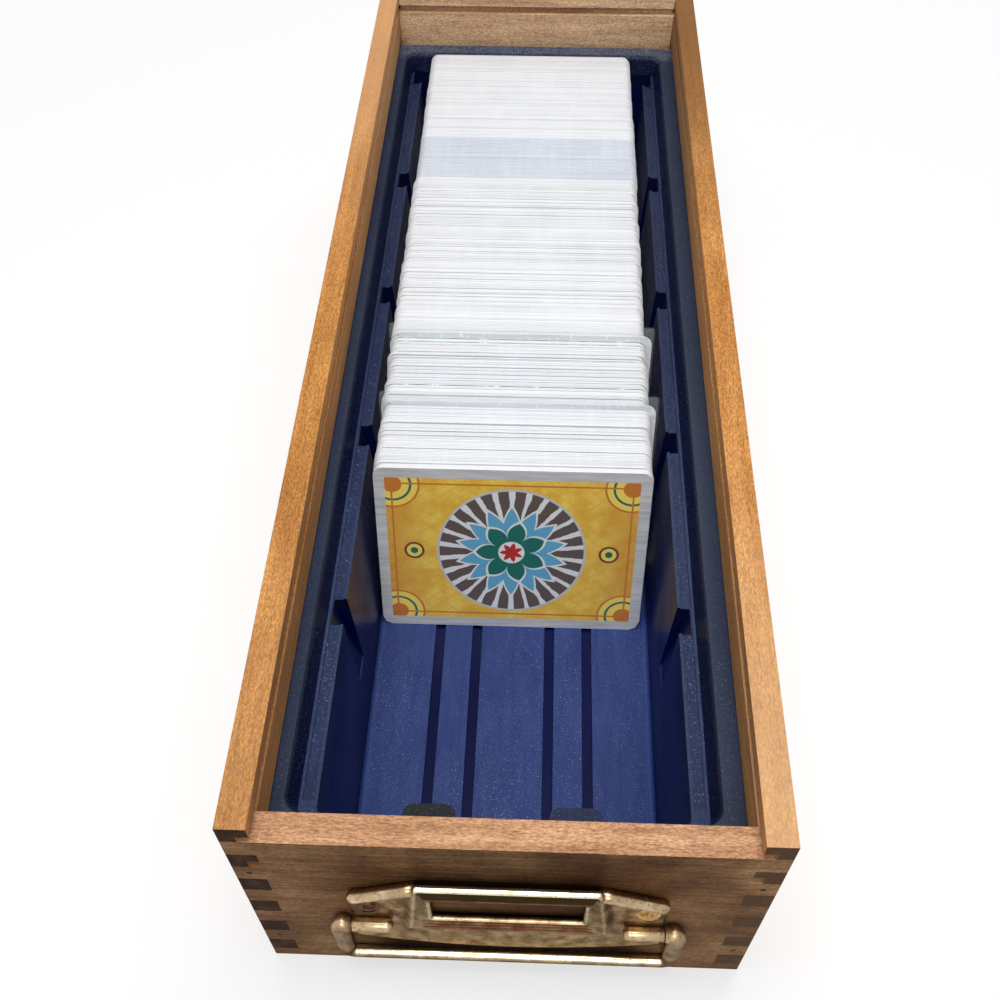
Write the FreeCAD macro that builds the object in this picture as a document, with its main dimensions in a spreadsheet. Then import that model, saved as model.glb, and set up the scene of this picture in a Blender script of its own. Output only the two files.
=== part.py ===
"""Wooden drawer box for trading cards: a finger-jointed case that holds a moulded card tray,
with a stamped brass label pull and a swinging bail on its front, and the cards that stand in it.

Millimetres. +Z up, +Y to the back, +X to the right for someone who faces the pull.
The origin is the centre of the wooden box's underside.
"""
import FreeCAD
import Part
import math
import os
import Sketcher
from FreeCAD import Placement, Rotation, Vector

SIZES = {
    # the wooden box
    "box_length": 398.0,
    "side_height": 87.8,
    "side_thickness": 7.6,
    "end_thickness": 8.15,
    "finger_pitch": 7.56,
    "lip_height": 4.2,
    "lid_groove_height": 2.8,
    "lid_groove_depth": 3.3,
    "bottom_thickness": 3.2,
    "bottom_rebate_depth": 3.6,
    "bottom_clearance": 0.1,
    "brad_radius": 0.8,
    "brad_length": 22.0,
    # the grooves that carry the tray
    "tray_groove_drop": 15.1,
    "tray_groove_height": 3.8,
    "tray_groove_depth": 3.1,
    "tray_side_play": 1.3,
    # the moulded tray, from the card outwards
    "card_side_room": 2.0,
    "well_draft_run": 2.9,
    "ledge_width": 4.9,
    "shoulder_run": 2.3,
    "flange_reach": 5.9,
    "tray_foot_gap": 2.7,
    "tray_shift": 1.1,
    "tray_front_gap": 1.4,
    "tray_back_gap": 2.4,
    "tray_corner": 5.0,
    "tray_wall": 1.8,
    "flange_thickness": 1.8,
    "mouth_front_margin": 4.5,
    "mouth_back_margin": 6.0,
    "shoulder_drop": 7.5,
    "floor_fillet": 2.5,
    "well_corner": 3.4,
    "rim_width": 0.9,
    "rim_height": 0.6,
    "slot_width": 9.2,
    "slot_first": 82.0,
    "slot_pitch": 71.7,
    "slot_head_depth": 4.0,
    "slot_sill_depth": 1.6,
    "slot_sill_height": 29.0,
    "rib_inner": 12.4,
    "rib_outer": 25.1,
    "rib_groove_width": 3.4,
    "rib_groove_depth": 1.2,
    "lug_spacing": 37.2,
    "lug_width": 13.5,
    "lug_reach": 3.4,
    "lug_rise": 0.8,
    "lug_depth": 6.0,
    # the stamped label pull
    "pull_shift": 0.8,
    "pivot_height": 35.3,
    "plate_thickness": 1.0,
    "plate_half_width": 42.5,
    "plate_corner_drop": 13.0,
    "plate_centre_drop": 20.0,
    "wing_half_width": 41.0,
    "wing_rise": 18.5,
    "crown_half_width": 23.5,
    "crown_rise": 25.2,
    "bead_radius": 1.35,
    "frame_foot_spread": 1.0,
    "rim_top_half_width": 23.2,
    "rim_low_half_width": 26.1,
    "rim_top_rise": 28.2,
    "rim_low_drop": 1.5,
    "rim_top_stand": 4.2,
    "rim_low_stand": 2.8,
    "rim_flat": 0.6,
    "window_half_width": 19.9,
    "window_low": 4.3,
    "window_top": 16.7,
    "window_lip": 1.65,
    "lip_stand": 2.3,
    "label_gap": 1.2,
    "label_gap_top": 2.7,
    "label_half_width": 21.2,
    "ear_inner": 31.4,
    "ear_outer": 41.7,
    "ear_radius": 1.85,
    "ear_bore_radius": 1.25,
    "ear_sink": 0.15,
    # the bail
    "bail_half_width": 45.55,
    "bail_drop": 24.0,
    "bail_radius": 1.75,
    "bail_bend": 3.4,
    "bail_end_gap": 0.25,
    "bail_pin_radius": 1.18,
    "bail_pin_length": 8.8,
    # the pull's screws
    "screw_spacing": 73.2,
    "screw_rise": 9.2,
    "screw_radius": 1.6,
    "screw_length": 7.2,
    "screw_head_radius": 3.4,
    "screw_head_height": 1.7,
    "screw_slot_width": 0.9,
    "screw_slot_depth": 0.7,
    "screw_clearance": 0.3,
    # the cards
    "card_width": 88.0,
    "card_height": 63.0,
    "card_thickness": 0.305,
    "card_corner": 3.2,
    "card_foot_gap": 0.05,
    "card_gap": 0.1,
    "stack_front": 113.2,
    "stack_back_gap": 1.1,
    "stack_lean": 16.1,
    "lean_step": 1.0,
    "sleeve_spare_width": 3.4,
    "sleeve_spare_height": 3.7,
    "sleeve_corner": 1.2,
    "sleeve_thickness": 0.7,
    "sleeve_film": 0.15,
    "sleeve_seam": 0.6,
    "card_side_gap": 0.1,
    "sleeve_front_overhang": 1.7,
    "sleeve_front_rise": 0.5,
    "sleeve_front_tilt": 0.0,
    "sleeve_rear_overhang": 1.7,
    "sleeve_rear_rise": 0.5,
    "sleeve_rear_tilt": 0.0,
}

# one packet of cards after another, front to back: its share of the row's length, how far it
# stands to the left of the tray's centre, and whether a sleeved card follows it
PACKETS = [
    ("card_packet_1", 0.052, 1.1, False),
    ("card_packet_2", 0.059, 0.8, True),
    ("card_packet_3", 0.132, 1.2, True),
    ("card_packet_4", 0.166, 1.2, False),
    ("card_packet_5", 0.213, 1.0, False),
    ("card_packet_6", 0.183, 0.6, False),
    ("card_packet_7", 0.195, 0.9, False),
]
SLEEVES = ["front", "rear"]

doc = FreeCAD.newDocument("card_drawer_box")
sheet = doc.addObject("Spreadsheet::Sheet", "sizes")


def fill_sheet(values):
    """One row of the sheet per driving size: its name in column A, its value in column B."""
    for row, (alias, value) in enumerate(values.items(), start=1):
        sheet.set(f"A{row}", alias)
        sheet.set(f"B{row}", str(value))
        sheet.setAlias(f"B{row}", alias)
    doc.recompute()


packet_sizes = {}
for packet_name, packet_share, packet_offset, _ in PACKETS:
    packet_sizes[packet_name + "_share"] = packet_share
    packet_sizes[packet_name + "_offset"] = packet_offset
fill_sheet({**SIZES, **packet_sizes})


def size(alias):
    return float(sheet.get(alias))


# lengths that several pieces share, written once as expressions of the sheet
HALF_LENGTH = "sizes.box_length / 2"
INNER_Y = "(sizes.box_length / 2 - sizes.end_thickness)"
FRONT_HEIGHT = "(sizes.side_height - sizes.lip_height - sizes.lid_groove_height)"
GROOVE_FLOOR = f"({FRONT_HEIGHT} - sizes.tray_groove_drop)"

FLOOR_HALF = "(sizes.card_width / 2 + sizes.card_side_room)"
WELL_HALF = f"({FLOOR_HALF} + sizes.well_draft_run)"
SHOULDER_HALF = f"({WELL_HALF} + sizes.ledge_width)"
MOUTH_HALF = f"({SHOULDER_HALF} + sizes.shoulder_run)"
TRAY_HALF = f"({MOUTH_HALF} + sizes.flange_reach)"
INNER_X = f"({TRAY_HALF} + sizes.tray_side_play - sizes.tray_groove_depth)"
HALF_WIDTH = f"({INNER_X} + sizes.side_thickness)"

FLOOR = "(sizes.bottom_thickness + sizes.tray_foot_gap + sizes.rib_groove_depth + sizes.tray_wall)"
FLANGE_TOP = f"({GROOVE_FLOOR} + sizes.flange_thickness)"
LEDGE_TOP = f"({FLANGE_TOP} - sizes.shoulder_drop)"
TRAY_FRONT = f"(sizes.tray_front_gap - {INNER_Y})"
TRAY_BACK = f"({INNER_Y} - sizes.tray_back_gap)"
MOUTH_FRONT = f"({TRAY_FRONT} + sizes.mouth_front_margin)"
MOUTH_BACK = f"({TRAY_BACK} - sizes.mouth_back_margin)"
WELL_FRONT = f"({MOUTH_FRONT} + sizes.shoulder_run)"
WELL_BACK = f"({MOUTH_BACK} - sizes.shoulder_run)"
SHOULDER_DRAFT = "atan(sizes.shoulder_run / sizes.shoulder_drop)"
WELL_DRAFT = f"atan(sizes.well_draft_run / ({LEDGE_TOP} - {FLOOR}))"
EAR_STAND = "(sizes.plate_thickness + sizes.ear_radius - sizes.ear_sink)"

# the row of cards ends where the last packet's back clears the tray's rim
CARD_FOOT = f"({FLOOR} + sizes.card_foot_gap)"
STACK_FRONT = f"(sizes.stack_front - {HALF_LENGTH})"
LAST_LEAN = f"(sizes.stack_lean + {len(PACKETS) - 1} * sizes.lean_step)"
STACK_BACK = f"({MOUTH_BACK} - ({FLANGE_TOP} - {CARD_FOOT}) * tan({LAST_LEAN}) - sizes.stack_back_gap)"
LOOSE_RUN = (f"((sizes.card_thickness + {len(SLEEVES)} * sizes.sleeve_thickness) / cos({LAST_LEAN})"
             f" + {len(PACKETS) + len(SLEEVES)} * sizes.card_gap)")
PACKETS_RUN = f"({STACK_BACK} - {STACK_FRONT} - {LOOSE_RUN})"


# ---------------------------------------------------------------- drawing helpers

def new_body(name):
    body = doc.addObject("PartDesign::Body", name)
    body.Label = name
    return body


def new_sketch(body, role, name, offset=None):
    """A sketch on one of the body's own origin planes, moved along that plane's normal."""
    sketch = body.newObject("Sketcher::SketchObject", name)
    plane = next(item for item in body.Origin.OriginFeatures if item.Role == role)
    sketch.AttachmentSupport = [(plane, "")]
    sketch.MapMode = "FlatFace"
    if offset:
        sketch.setExpression("AttachmentOffset.Base.z", offset)
    return sketch


def drive(sketch, kind, *targets, to):
    """Add a dimension to a sketch as it is drawn, then bind it to an expression."""
    geometry, end = (targets[2], targets[3]) if len(targets) == 4 else (targets[0], 0)
    if kind == "Radius":
        drawn = sketch.Geometry[geometry].Radius
    else:
        point = sketch.getPoint(geometry, end)
        drawn = point.x if kind == "DistanceX" else point.y
    index = sketch.addConstraint(Sketcher.Constraint(kind, *targets, drawn))
    sketch.setExpression(f"Constraints[{index}]", to)


def place_point(sketch, geometry, end, x, y):
    drive(sketch, "DistanceX", -1, 1, geometry, end, to=x)
    drive(sketch, "DistanceY", -1, 1, geometry, end, to=y)


def polygon(sketch, corners):
    """A closed outline of straight lines through corners given as pairs of expressions."""
    first = sketch.GeometryCount
    count = len(corners)
    start = [Vector(math.cos(turn), math.sin(turn), 0)
             for turn in (2 * math.pi * step / count for step in range(count))]
    for step in range(count):
        sketch.addGeometry(Part.LineSegment(start[step], start[(step + 1) % count]), False)
    for step in range(count):
        following = first + (step + 1) % count
        sketch.addConstraint(Sketcher.Constraint("Coincident", first + step, 2, following, 1))
        place_point(sketch, first + step, 1, *corners[step])


def open_line(sketch, points):
    """Straight lines from each point to the next, given as pairs of expressions."""
    count = len(points)
    start = [Vector(-math.cos(turn), math.sin(turn), 0)
             for turn in (math.pi * step / count for step in range(count))]
    for step in range(count - 1):
        sketch.addGeometry(Part.LineSegment(start[step], start[step + 1]), False)
        if step:
            sketch.addConstraint(Sketcher.Constraint("Coincident", step - 1, 2, step, 1))
        place_point(sketch, step, 1, *points[step])
    place_point(sketch, count - 2, 2, *points[-1])


def rectangle(sketch, left, right, low, high):
    polygon(sketch, [(left, low), (right, low), (right, high), (left, high)])


def rounded_rectangle(sketch, left, right, low, high, radius):
    """Four sides joined by four equal corner arcs, anticlockwise from the low side."""
    first = sketch.GeometryCount
    span = 10.0
    bend = 2.0
    turns = [(span, -span), (span, span), (-span, span), (-span, -span)]
    for corner, (x, y) in enumerate(turns):
        before = turns[corner - 1]
        begin = Vector(before[0], before[1], 0)
        end = Vector(x, y, 0)
        along = (end - begin).normalize()
        sketch.addGeometry(Part.LineSegment(begin + along * bend, end - along * bend), False)
        centre = Vector(x - math.copysign(bend, x), y - math.copysign(bend, y), 0)
        opening = math.radians(90 * (corner - 1))
        circle = Part.Circle(centre, Vector(0, 0, 1), bend)
        sketch.addGeometry(Part.ArcOfCircle(circle, opening, opening + math.pi / 2), False)
    for corner in range(4):
        line = first + 2 * corner
        arc = line + 1
        following = first + (2 * corner + 2) % 8
        sketch.addConstraint(Sketcher.Constraint("Tangent", line, 2, arc, 1))
        sketch.addConstraint(Sketcher.Constraint("Tangent", arc, 2, following, 1))
        sketch.addConstraint(Sketcher.Constraint("Horizontal" if corner % 2 == 0 else "Vertical", line))
        if corner:
            sketch.addConstraint(Sketcher.Constraint("Equal", first + 1, arc))
    drive(sketch, "Radius", first + 1, to=radius)
    drive(sketch, "DistanceY", -1, 1, first, 1, to=low)
    drive(sketch, "DistanceX", -1, 1, first + 2, 1, to=right)
    drive(sketch, "DistanceY", -1, 1, first + 4, 1, to=high)
    drive(sketch, "DistanceX", -1, 1, first + 6, 1, to=left)


def circle(sketch, x, y, radius):
    centre = sketch.addGeometry(Part.Circle(Vector(1, 1, 0), Vector(0, 0, 1), 1.0), False)
    drive(sketch, "Radius", centre, to=radius)
    place_point(sketch, centre, 3, x, y)


def pad(body, sketch, length, reverse=False, midplane=False, draft=None):
    feature = body.newObject("PartDesign::Pad", sketch.Name + "_pad")
    feature.Profile = sketch
    feature.Reversed = reverse
    feature.Midplane = midplane
    feature.setExpression("Length", length)
    if draft:
        feature.setExpression("TaperAngle", draft)
    body.Tip = feature
    return feature


def pocket(body, sketch, length, reverse=False, midplane=False, draft=None):
    feature = body.newObject("PartDesign::Pocket", sketch.Name + "_pocket")
    feature.Profile = sketch
    feature.Reversed = reverse
    feature.Midplane = midplane
    feature.setExpression("Length", length)
    if draft:
        feature.setExpression("TaperAngle", draft)
    body.Tip = feature
    return feature


def repeat(body, features, sketch, axis, spacing, count, reverse=False):
    """Repeat features along an axis of their sketch, spacing apart."""
    pattern = body.newObject("PartDesign::LinearPattern", features[0].Name + "_row")
    pattern.Originals = features
    pattern.Direction = (sketch, [axis])
    pattern.Reversed = reverse
    pattern.Occurrences = count
    pattern.setExpression("Length", f"{spacing} * {count - 1}")
    body.Tip = pattern
    return pattern


def cut_away(name, base, tool):
    cut = doc.addObject("Part::Cut", name)
    cut.Base = base
    cut.Tool = tool
    return cut


def loft(body, kind, profile, section):
    feature = body.newObject("PartDesign::" + kind, profile.Name + "_loft")
    feature.Profile = profile
    feature.Sections = [section]
    feature.Ruled = True
    body.Tip = feature
    return feature


# ---------------------------------------------------------------- the wooden box

front_height = size("side_height") - size("lip_height") - size("lid_groove_height")
pair_pitch = 2 * size("finger_pitch")
end_finger_count = math.ceil(front_height / pair_pitch)
side_finger_count = math.ceil((front_height - size("finger_pitch")) / pair_pitch)
PAIR_PITCH = "(2 * sizes.finger_pitch)"


def brad_heights():
    """The brads go through the second and the last but one of the end panel's fingers."""
    rows = (1, end_finger_count - 2)
    return [f"{FRONT_HEIGHT} - {2 * row + 0.5} * sizes.finger_pitch" for row in rows]


BRAD_X = f"({HALF_WIDTH} - sizes.side_thickness / 2)"


def make_side(name, hand, brads):
    """A long side. hand is -1 on the left and 1 on the right."""
    body = new_body(name + "_board")
    outer = f"{hand} * {HALF_WIDTH}"
    inner = f"{hand} * {INNER_X}"

    blank = new_sketch(body, "XY_Plane", name + "_blank")
    edges = (outer, inner) if hand < 0 else (inner, outer)
    rectangle(blank, *edges, f"-{HALF_LENGTH}", HALF_LENGTH)
    pad(body, blank, "sizes.side_height")

    # the end panels' fingers pass through these notches
    notch = new_sketch(body, "YZ_Plane", name + "_notch", f"{hand} * ({HALF_WIDTH} + 1)")
    top = FRONT_HEIGHT
    low = f"{FRONT_HEIGHT} - sizes.finger_pitch"
    rectangle(notch, f"-{HALF_LENGTH} - 1", f"-{INNER_Y}", low, top)
    rectangle(notch, INNER_Y, f"{HALF_LENGTH} + 1", low, top)
    cut = pocket(body, notch, "sizes.side_thickness + 2", reverse=hand < 0)
    repeat(body, [cut], notch, "V_Axis", PAIR_PITCH, end_finger_count, reverse=True)

    # grooves in the inner face, drawn as seen along the box
    def groove(label, low, high, depth, begin, end):
        profile = new_sketch(body, "XZ_Plane", f"{name}_{label}", f"-({begin})")
        wall = f"{hand} * ({INNER_X} + {depth})"
        air = f"{hand} * ({INNER_X} - 1)"
        limits = (wall, air) if hand < 0 else (air, wall)
        rectangle(profile, *limits, low, high)
        pocket(body, profile, f"{end} - ({begin})")

    groove("lid_groove", FRONT_HEIGHT, f"{FRONT_HEIGHT} + sizes.lid_groove_height", "sizes.lid_groove_depth",
           f"-{HALF_LENGTH} - 1", f"({INNER_Y} + sizes.lid_groove_depth)")
    groove("tray_groove", GROOVE_FLOOR, f"{GROOVE_FLOOR} + sizes.tray_groove_height",
           "sizes.tray_groove_depth", f"-{HALF_LENGTH} - 1", f"({HALF_LENGTH} + 1)")
    groove("bottom_rebate", "-1", "sizes.bottom_thickness", "sizes.bottom_rebate_depth",
           f"-({INNER_Y} + sizes.bottom_rebate_depth)", f"({INNER_Y} + sizes.bottom_rebate_depth)")
    return cut_away(name, body, brads)


def make_end(name, facing, brads):
    """A short end panel. facing is -1 at the front and 1 at the back."""
    body = new_body(name + "_board")
    outer = f"{facing} * {HALF_LENGTH}"
    height = FRONT_HEIGHT if facing < 0 else "sizes.side_height"
    blank = new_sketch(body, "XZ_Plane", name + "_blank", f"-({outer})")
    rectangle(blank, f"-{HALF_WIDTH}", HALF_WIDTH, "0", height)
    pad(body, blank, "sizes.end_thickness", reverse=facing < 0)

    # the sides' fingers pass through these notches; the back's lip stands between the sides
    notch = new_sketch(body, "XZ_Plane", name + "_notch", f"-({outer})")
    above = 0 if facing < 0 else 1
    low = f"{FRONT_HEIGHT} + {2 * above - 2} * sizes.finger_pitch"
    top = f"{FRONT_HEIGHT} + {2 * above - 1} * sizes.finger_pitch"
    rectangle(notch, f"-{HALF_WIDTH} - 1", f"-{INNER_X}", low, top)
    rectangle(notch, INNER_X, f"{HALF_WIDTH} + 1", low, top)
    cut = pocket(body, notch, "sizes.end_thickness", reverse=facing > 0)
    repeat(body, [cut], notch, "V_Axis", PAIR_PITCH, side_finger_count + above, reverse=True)

    seat = new_sketch(body, "XZ_Plane", name + "_bottom_rebate", f"-({facing} * {INNER_Y})")
    reach = f"({INNER_X} + sizes.bottom_rebate_depth)"
    rectangle(seat, f"-{reach}", reach, "-1", "sizes.bottom_thickness")
    pocket(body, seat, "sizes.bottom_rebate_depth", reverse=facing < 0)

    if facing > 0:
        lid = new_sketch(body, "XZ_Plane", name + "_lid_groove", f"-{INNER_Y}")
        rectangle(lid, f"-{INNER_X}", INNER_X, FRONT_HEIGHT, f"{FRONT_HEIGHT} + sizes.lid_groove_height")
        pocket(body, lid, "sizes.lid_groove_depth")

    if facing < 0:
        pilots = new_sketch(body, "XZ_Plane", name + "_pilots", f"-({outer})")
        for hand in (-1, 1):
            circle(pilots, f"sizes.pull_shift + {hand} * sizes.screw_spacing / 2",
                   "sizes.pivot_height + sizes.screw_rise", "sizes.screw_radius")
        pocket(body, pilots, "sizes.screw_length - sizes.plate_thickness")
    return cut_away(name, body, brads)


def make_bottom():
    """The thin bottom board, let into a rebate round the underside of all four walls."""
    board = doc.addObject("Part::Box", "bottom_panel")
    reach = "(sizes.bottom_rebate_depth - sizes.bottom_clearance)"
    board.setExpression("Length", f"2 * ({INNER_X} + {reach})")
    board.setExpression("Width", f"2 * ({INNER_Y} + {reach})")
    board.setExpression("Height", "sizes.bottom_thickness")
    board.setExpression("Placement.Base.x", f"-({INNER_X} + {reach})")
    board.setExpression("Placement.Base.y", f"-({INNER_Y} + {reach})")
    return board


def make_brads():
    """Headless ten-sided brads, driven flush through the end panels into the long sides."""
    brads = []
    for facing in (-1, 1):
        for hand in (-1, 1):
            for height in brad_heights():
                brad = doc.addObject("Part::Prism", "brad")
                brad.Polygon = 10
                brad.setExpression("Circumradius", "sizes.brad_radius")
                brad.setExpression("Height", "sizes.brad_length")
                brad.Placement = Placement(Vector(), Rotation(Vector(1, 0, 0), 90 * facing))
                brad.setExpression("Placement.Base.x", f"{hand} * {BRAD_X}")
                brad.setExpression("Placement.Base.y", f"{facing} * {HALF_LENGTH}")
                brad.setExpression("Placement.Base.z", height)
                brads.append(brad)
    group = doc.addObject("Part::Compound", "corner_brads")
    group.Links = brads
    return group


# ---------------------------------------------------------------- the moulded tray

def make_tray():
    """A one-piece moulding: flange, shoulder, ledge with divider slots, and a ribbed floor."""
    body = new_body("card_tray")
    body.setExpression("Placement.Base.x", "-sizes.tray_shift")
    wall = "sizes.tray_wall"

    def plan(name, level, half, front, back, grow, corner):
        sketch = new_sketch(body, "XY_Plane", name, level)
        reach = f"({half} + {grow})"
        rounded_rectangle(sketch, f"-{reach}", reach, f"{front} - {grow}", f"{back} + {grow}", corner)
        return sketch

    # outside: flange, shoulder and well, each hanging from its upper edge
    flange = plan("tray_flange", FLANGE_TOP, TRAY_HALF, TRAY_FRONT, TRAY_BACK, "0", "sizes.tray_corner")
    pad(body, flange, "sizes.flange_thickness", reverse=True)
    shoulder = plan("tray_shoulder", FLANGE_TOP, MOUTH_HALF, MOUTH_FRONT, MOUTH_BACK, wall,
                    "sizes.tray_corner + sizes.tray_wall")
    pad(body, shoulder, "sizes.shoulder_drop + sizes.tray_wall", reverse=True, draft=f"-{SHOULDER_DRAFT}")
    well = plan("tray_well", LEDGE_TOP, WELL_HALF, WELL_FRONT, WELL_BACK, wall,
                "sizes.well_corner + sizes.tray_wall")
    pad(body, well, f"{LEDGE_TOP} - {FLOOR} + sizes.tray_wall", reverse=True, draft=f"-{WELL_DRAFT}")

    # each divider slot is a wedge that ends on a sloping sill; first its outer skin
    def slot_profile(name, skin, centre):
        sketch = new_sketch(body, "XZ_Plane", name, f"-({centre})")
        for hand in (-1, 1):
            inner = f"{hand} * ({FLOOR_HALF} - 1)"
            head = f"{hand} * ({WELL_HALF} + sizes.slot_head_depth + {skin})"
            sill = f"{hand} * ({FLOOR_HALF} + sizes.slot_sill_depth + {skin})"
            low = f"sizes.slot_sill_height - {skin}"
            top = f"{LEDGE_TOP} + 1" if skin == "0" else LEDGE_TOP
            corners = [(inner, top), (inner, f"{low} - 2"), (sill, low), (head, top)]
            polygon(sketch, corners if hand > 0 else corners[::-1])
        return sketch

    first_slot = f"(sizes.slot_first - {HALF_LENGTH})"
    last_slot = f"({WELL_BACK} - sizes.slot_width / 2)"
    slot_count = int((size("box_length") - size("slot_first") - size("end_thickness"))
                     / size("slot_pitch"))
    skin_length = "sizes.slot_width + 2 * sizes.tray_wall"
    skin = slot_profile("slot_skin", wall, first_slot)
    skin_pad = pad(body, skin, skin_length, midplane=True)
    repeat(body, [skin_pad], flange, "V_Axis", "sizes.slot_pitch", slot_count)
    pad(body, slot_profile("last_slot_skin", wall, last_slot), skin_length, midplane=True)

    # inside: mouth, ledge and well
    mouth = plan("tray_mouth", FLANGE_TOP, MOUTH_HALF, MOUTH_FRONT, MOUTH_BACK, "0", "sizes.tray_corner")
    pocket(body, mouth, "sizes.shoulder_drop", draft=f"-{SHOULDER_DRAFT}")
    hollow = plan("tray_hollow", LEDGE_TOP, WELL_HALF, WELL_FRONT, WELL_BACK, "0", "sizes.well_corner")
    hollow_cut = pocket(body, hollow, f"{LEDGE_TOP} - {FLOOR}", draft=f"-{WELL_DRAFT}")
    doc.recompute()

    # a fillet all round the floor
    floor_level = (size("bottom_thickness") + size("tray_foot_gap") + size("rib_groove_depth")
                   + size("tray_wall"))
    floor_edges = [f"Edge{number}" for number, edge in enumerate(hollow_cut.Shape.Edges, start=1)
                   if abs(edge.BoundBox.ZMin - floor_level) < 0.01
                   and abs(edge.BoundBox.ZMax - floor_level) < 0.01]
    fillet = body.newObject("PartDesign::Fillet", "floor_fillet")
    fillet.Base = (hollow_cut, floor_edges)
    fillet.setExpression("Radius", "sizes.floor_fillet")
    body.Tip = fillet

    slots = slot_profile("slot_hollow", "0", first_slot)
    slot_cut = pocket(body, slots, "sizes.slot_width", midplane=True)
    repeat(body, [slot_cut], flange, "V_Axis", "sizes.slot_pitch", slot_count)
    pocket(body, slot_profile("last_slot_hollow", "0", last_slot), "sizes.slot_width", midplane=True)

    # a shallow channel leaves a rim along both edges of the ledge
    channels = new_sketch(body, "XY_Plane", "ledge_channels", LEDGE_TOP)
    near = f"({WELL_HALF} + sizes.rim_width)"
    far = f"({SHOULDER_HALF} - sizes.rim_width)"
    for hand in (-1, 1):
        limits = (f"-{far}", f"-{near}") if hand < 0 else (near, far)
        rectangle(channels, *limits, f"{WELL_FRONT} + sizes.tray_corner",
                  f"{WELL_BACK} - sizes.tray_corner")
    pocket(body, channels, "sizes.rim_height")

    # four narrow grooves along the floor, with the sheet bent down under each
    def floor_lines(name, level, grow):
        sketch = new_sketch(body, "XY_Plane", name, level)
        for place in ("-sizes.rib_outer", "-sizes.rib_inner", "sizes.rib_inner", "sizes.rib_outer"):
            half = f"(sizes.rib_groove_width / 2 + {grow})"
            inset = f"sizes.tray_corner + sizes.floor_fillet - {grow}"
            rectangle(sketch, f"{place} - {half}", f"{place} + {half}",
                      f"{WELL_FRONT} + {inset}", f"{WELL_BACK} - ({inset})")
        return sketch

    under = floor_lines("floor_rib_skin", f"{FLOOR} - sizes.tray_wall / 2", wall)
    pad(body, under, "sizes.rib_groove_depth + sizes.tray_wall / 2", reverse=True)
    grooves = floor_lines("floor_grooves", FLOOR, "0")
    pocket(body, grooves, "sizes.rib_groove_depth")

    # two rounded lugs inside the front flange
    lugs = new_sketch(body, "XY_Plane", "front_lugs", f"{FLANGE_TOP} + sizes.lug_rise")
    for hand in (-1, 1):
        centre = f"{hand} * sizes.lug_spacing / 2"
        rounded_rectangle(lugs, f"{centre} - sizes.lug_width / 2", f"{centre} + sizes.lug_width / 2",
                          f"{MOUTH_FRONT} - sizes.lug_reach", f"{MOUTH_FRONT} + sizes.lug_reach",
                          "sizes.lug_reach * 0.9")
    pad(body, lugs, "sizes.lug_rise + sizes.lug_depth", reverse=True)
    return body


# ---------------------------------------------------------------- the pull

def put_on_front(body):
    """The pull's own origin is the middle of the bail's axis, on the front panel's face."""
    body.setExpression("Placement.Base.x", "sizes.pull_shift")
    body.setExpression("Placement.Base.y", f"-{HALF_LENGTH}")
    body.setExpression("Placement.Base.z", "sizes.pivot_height")


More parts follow.
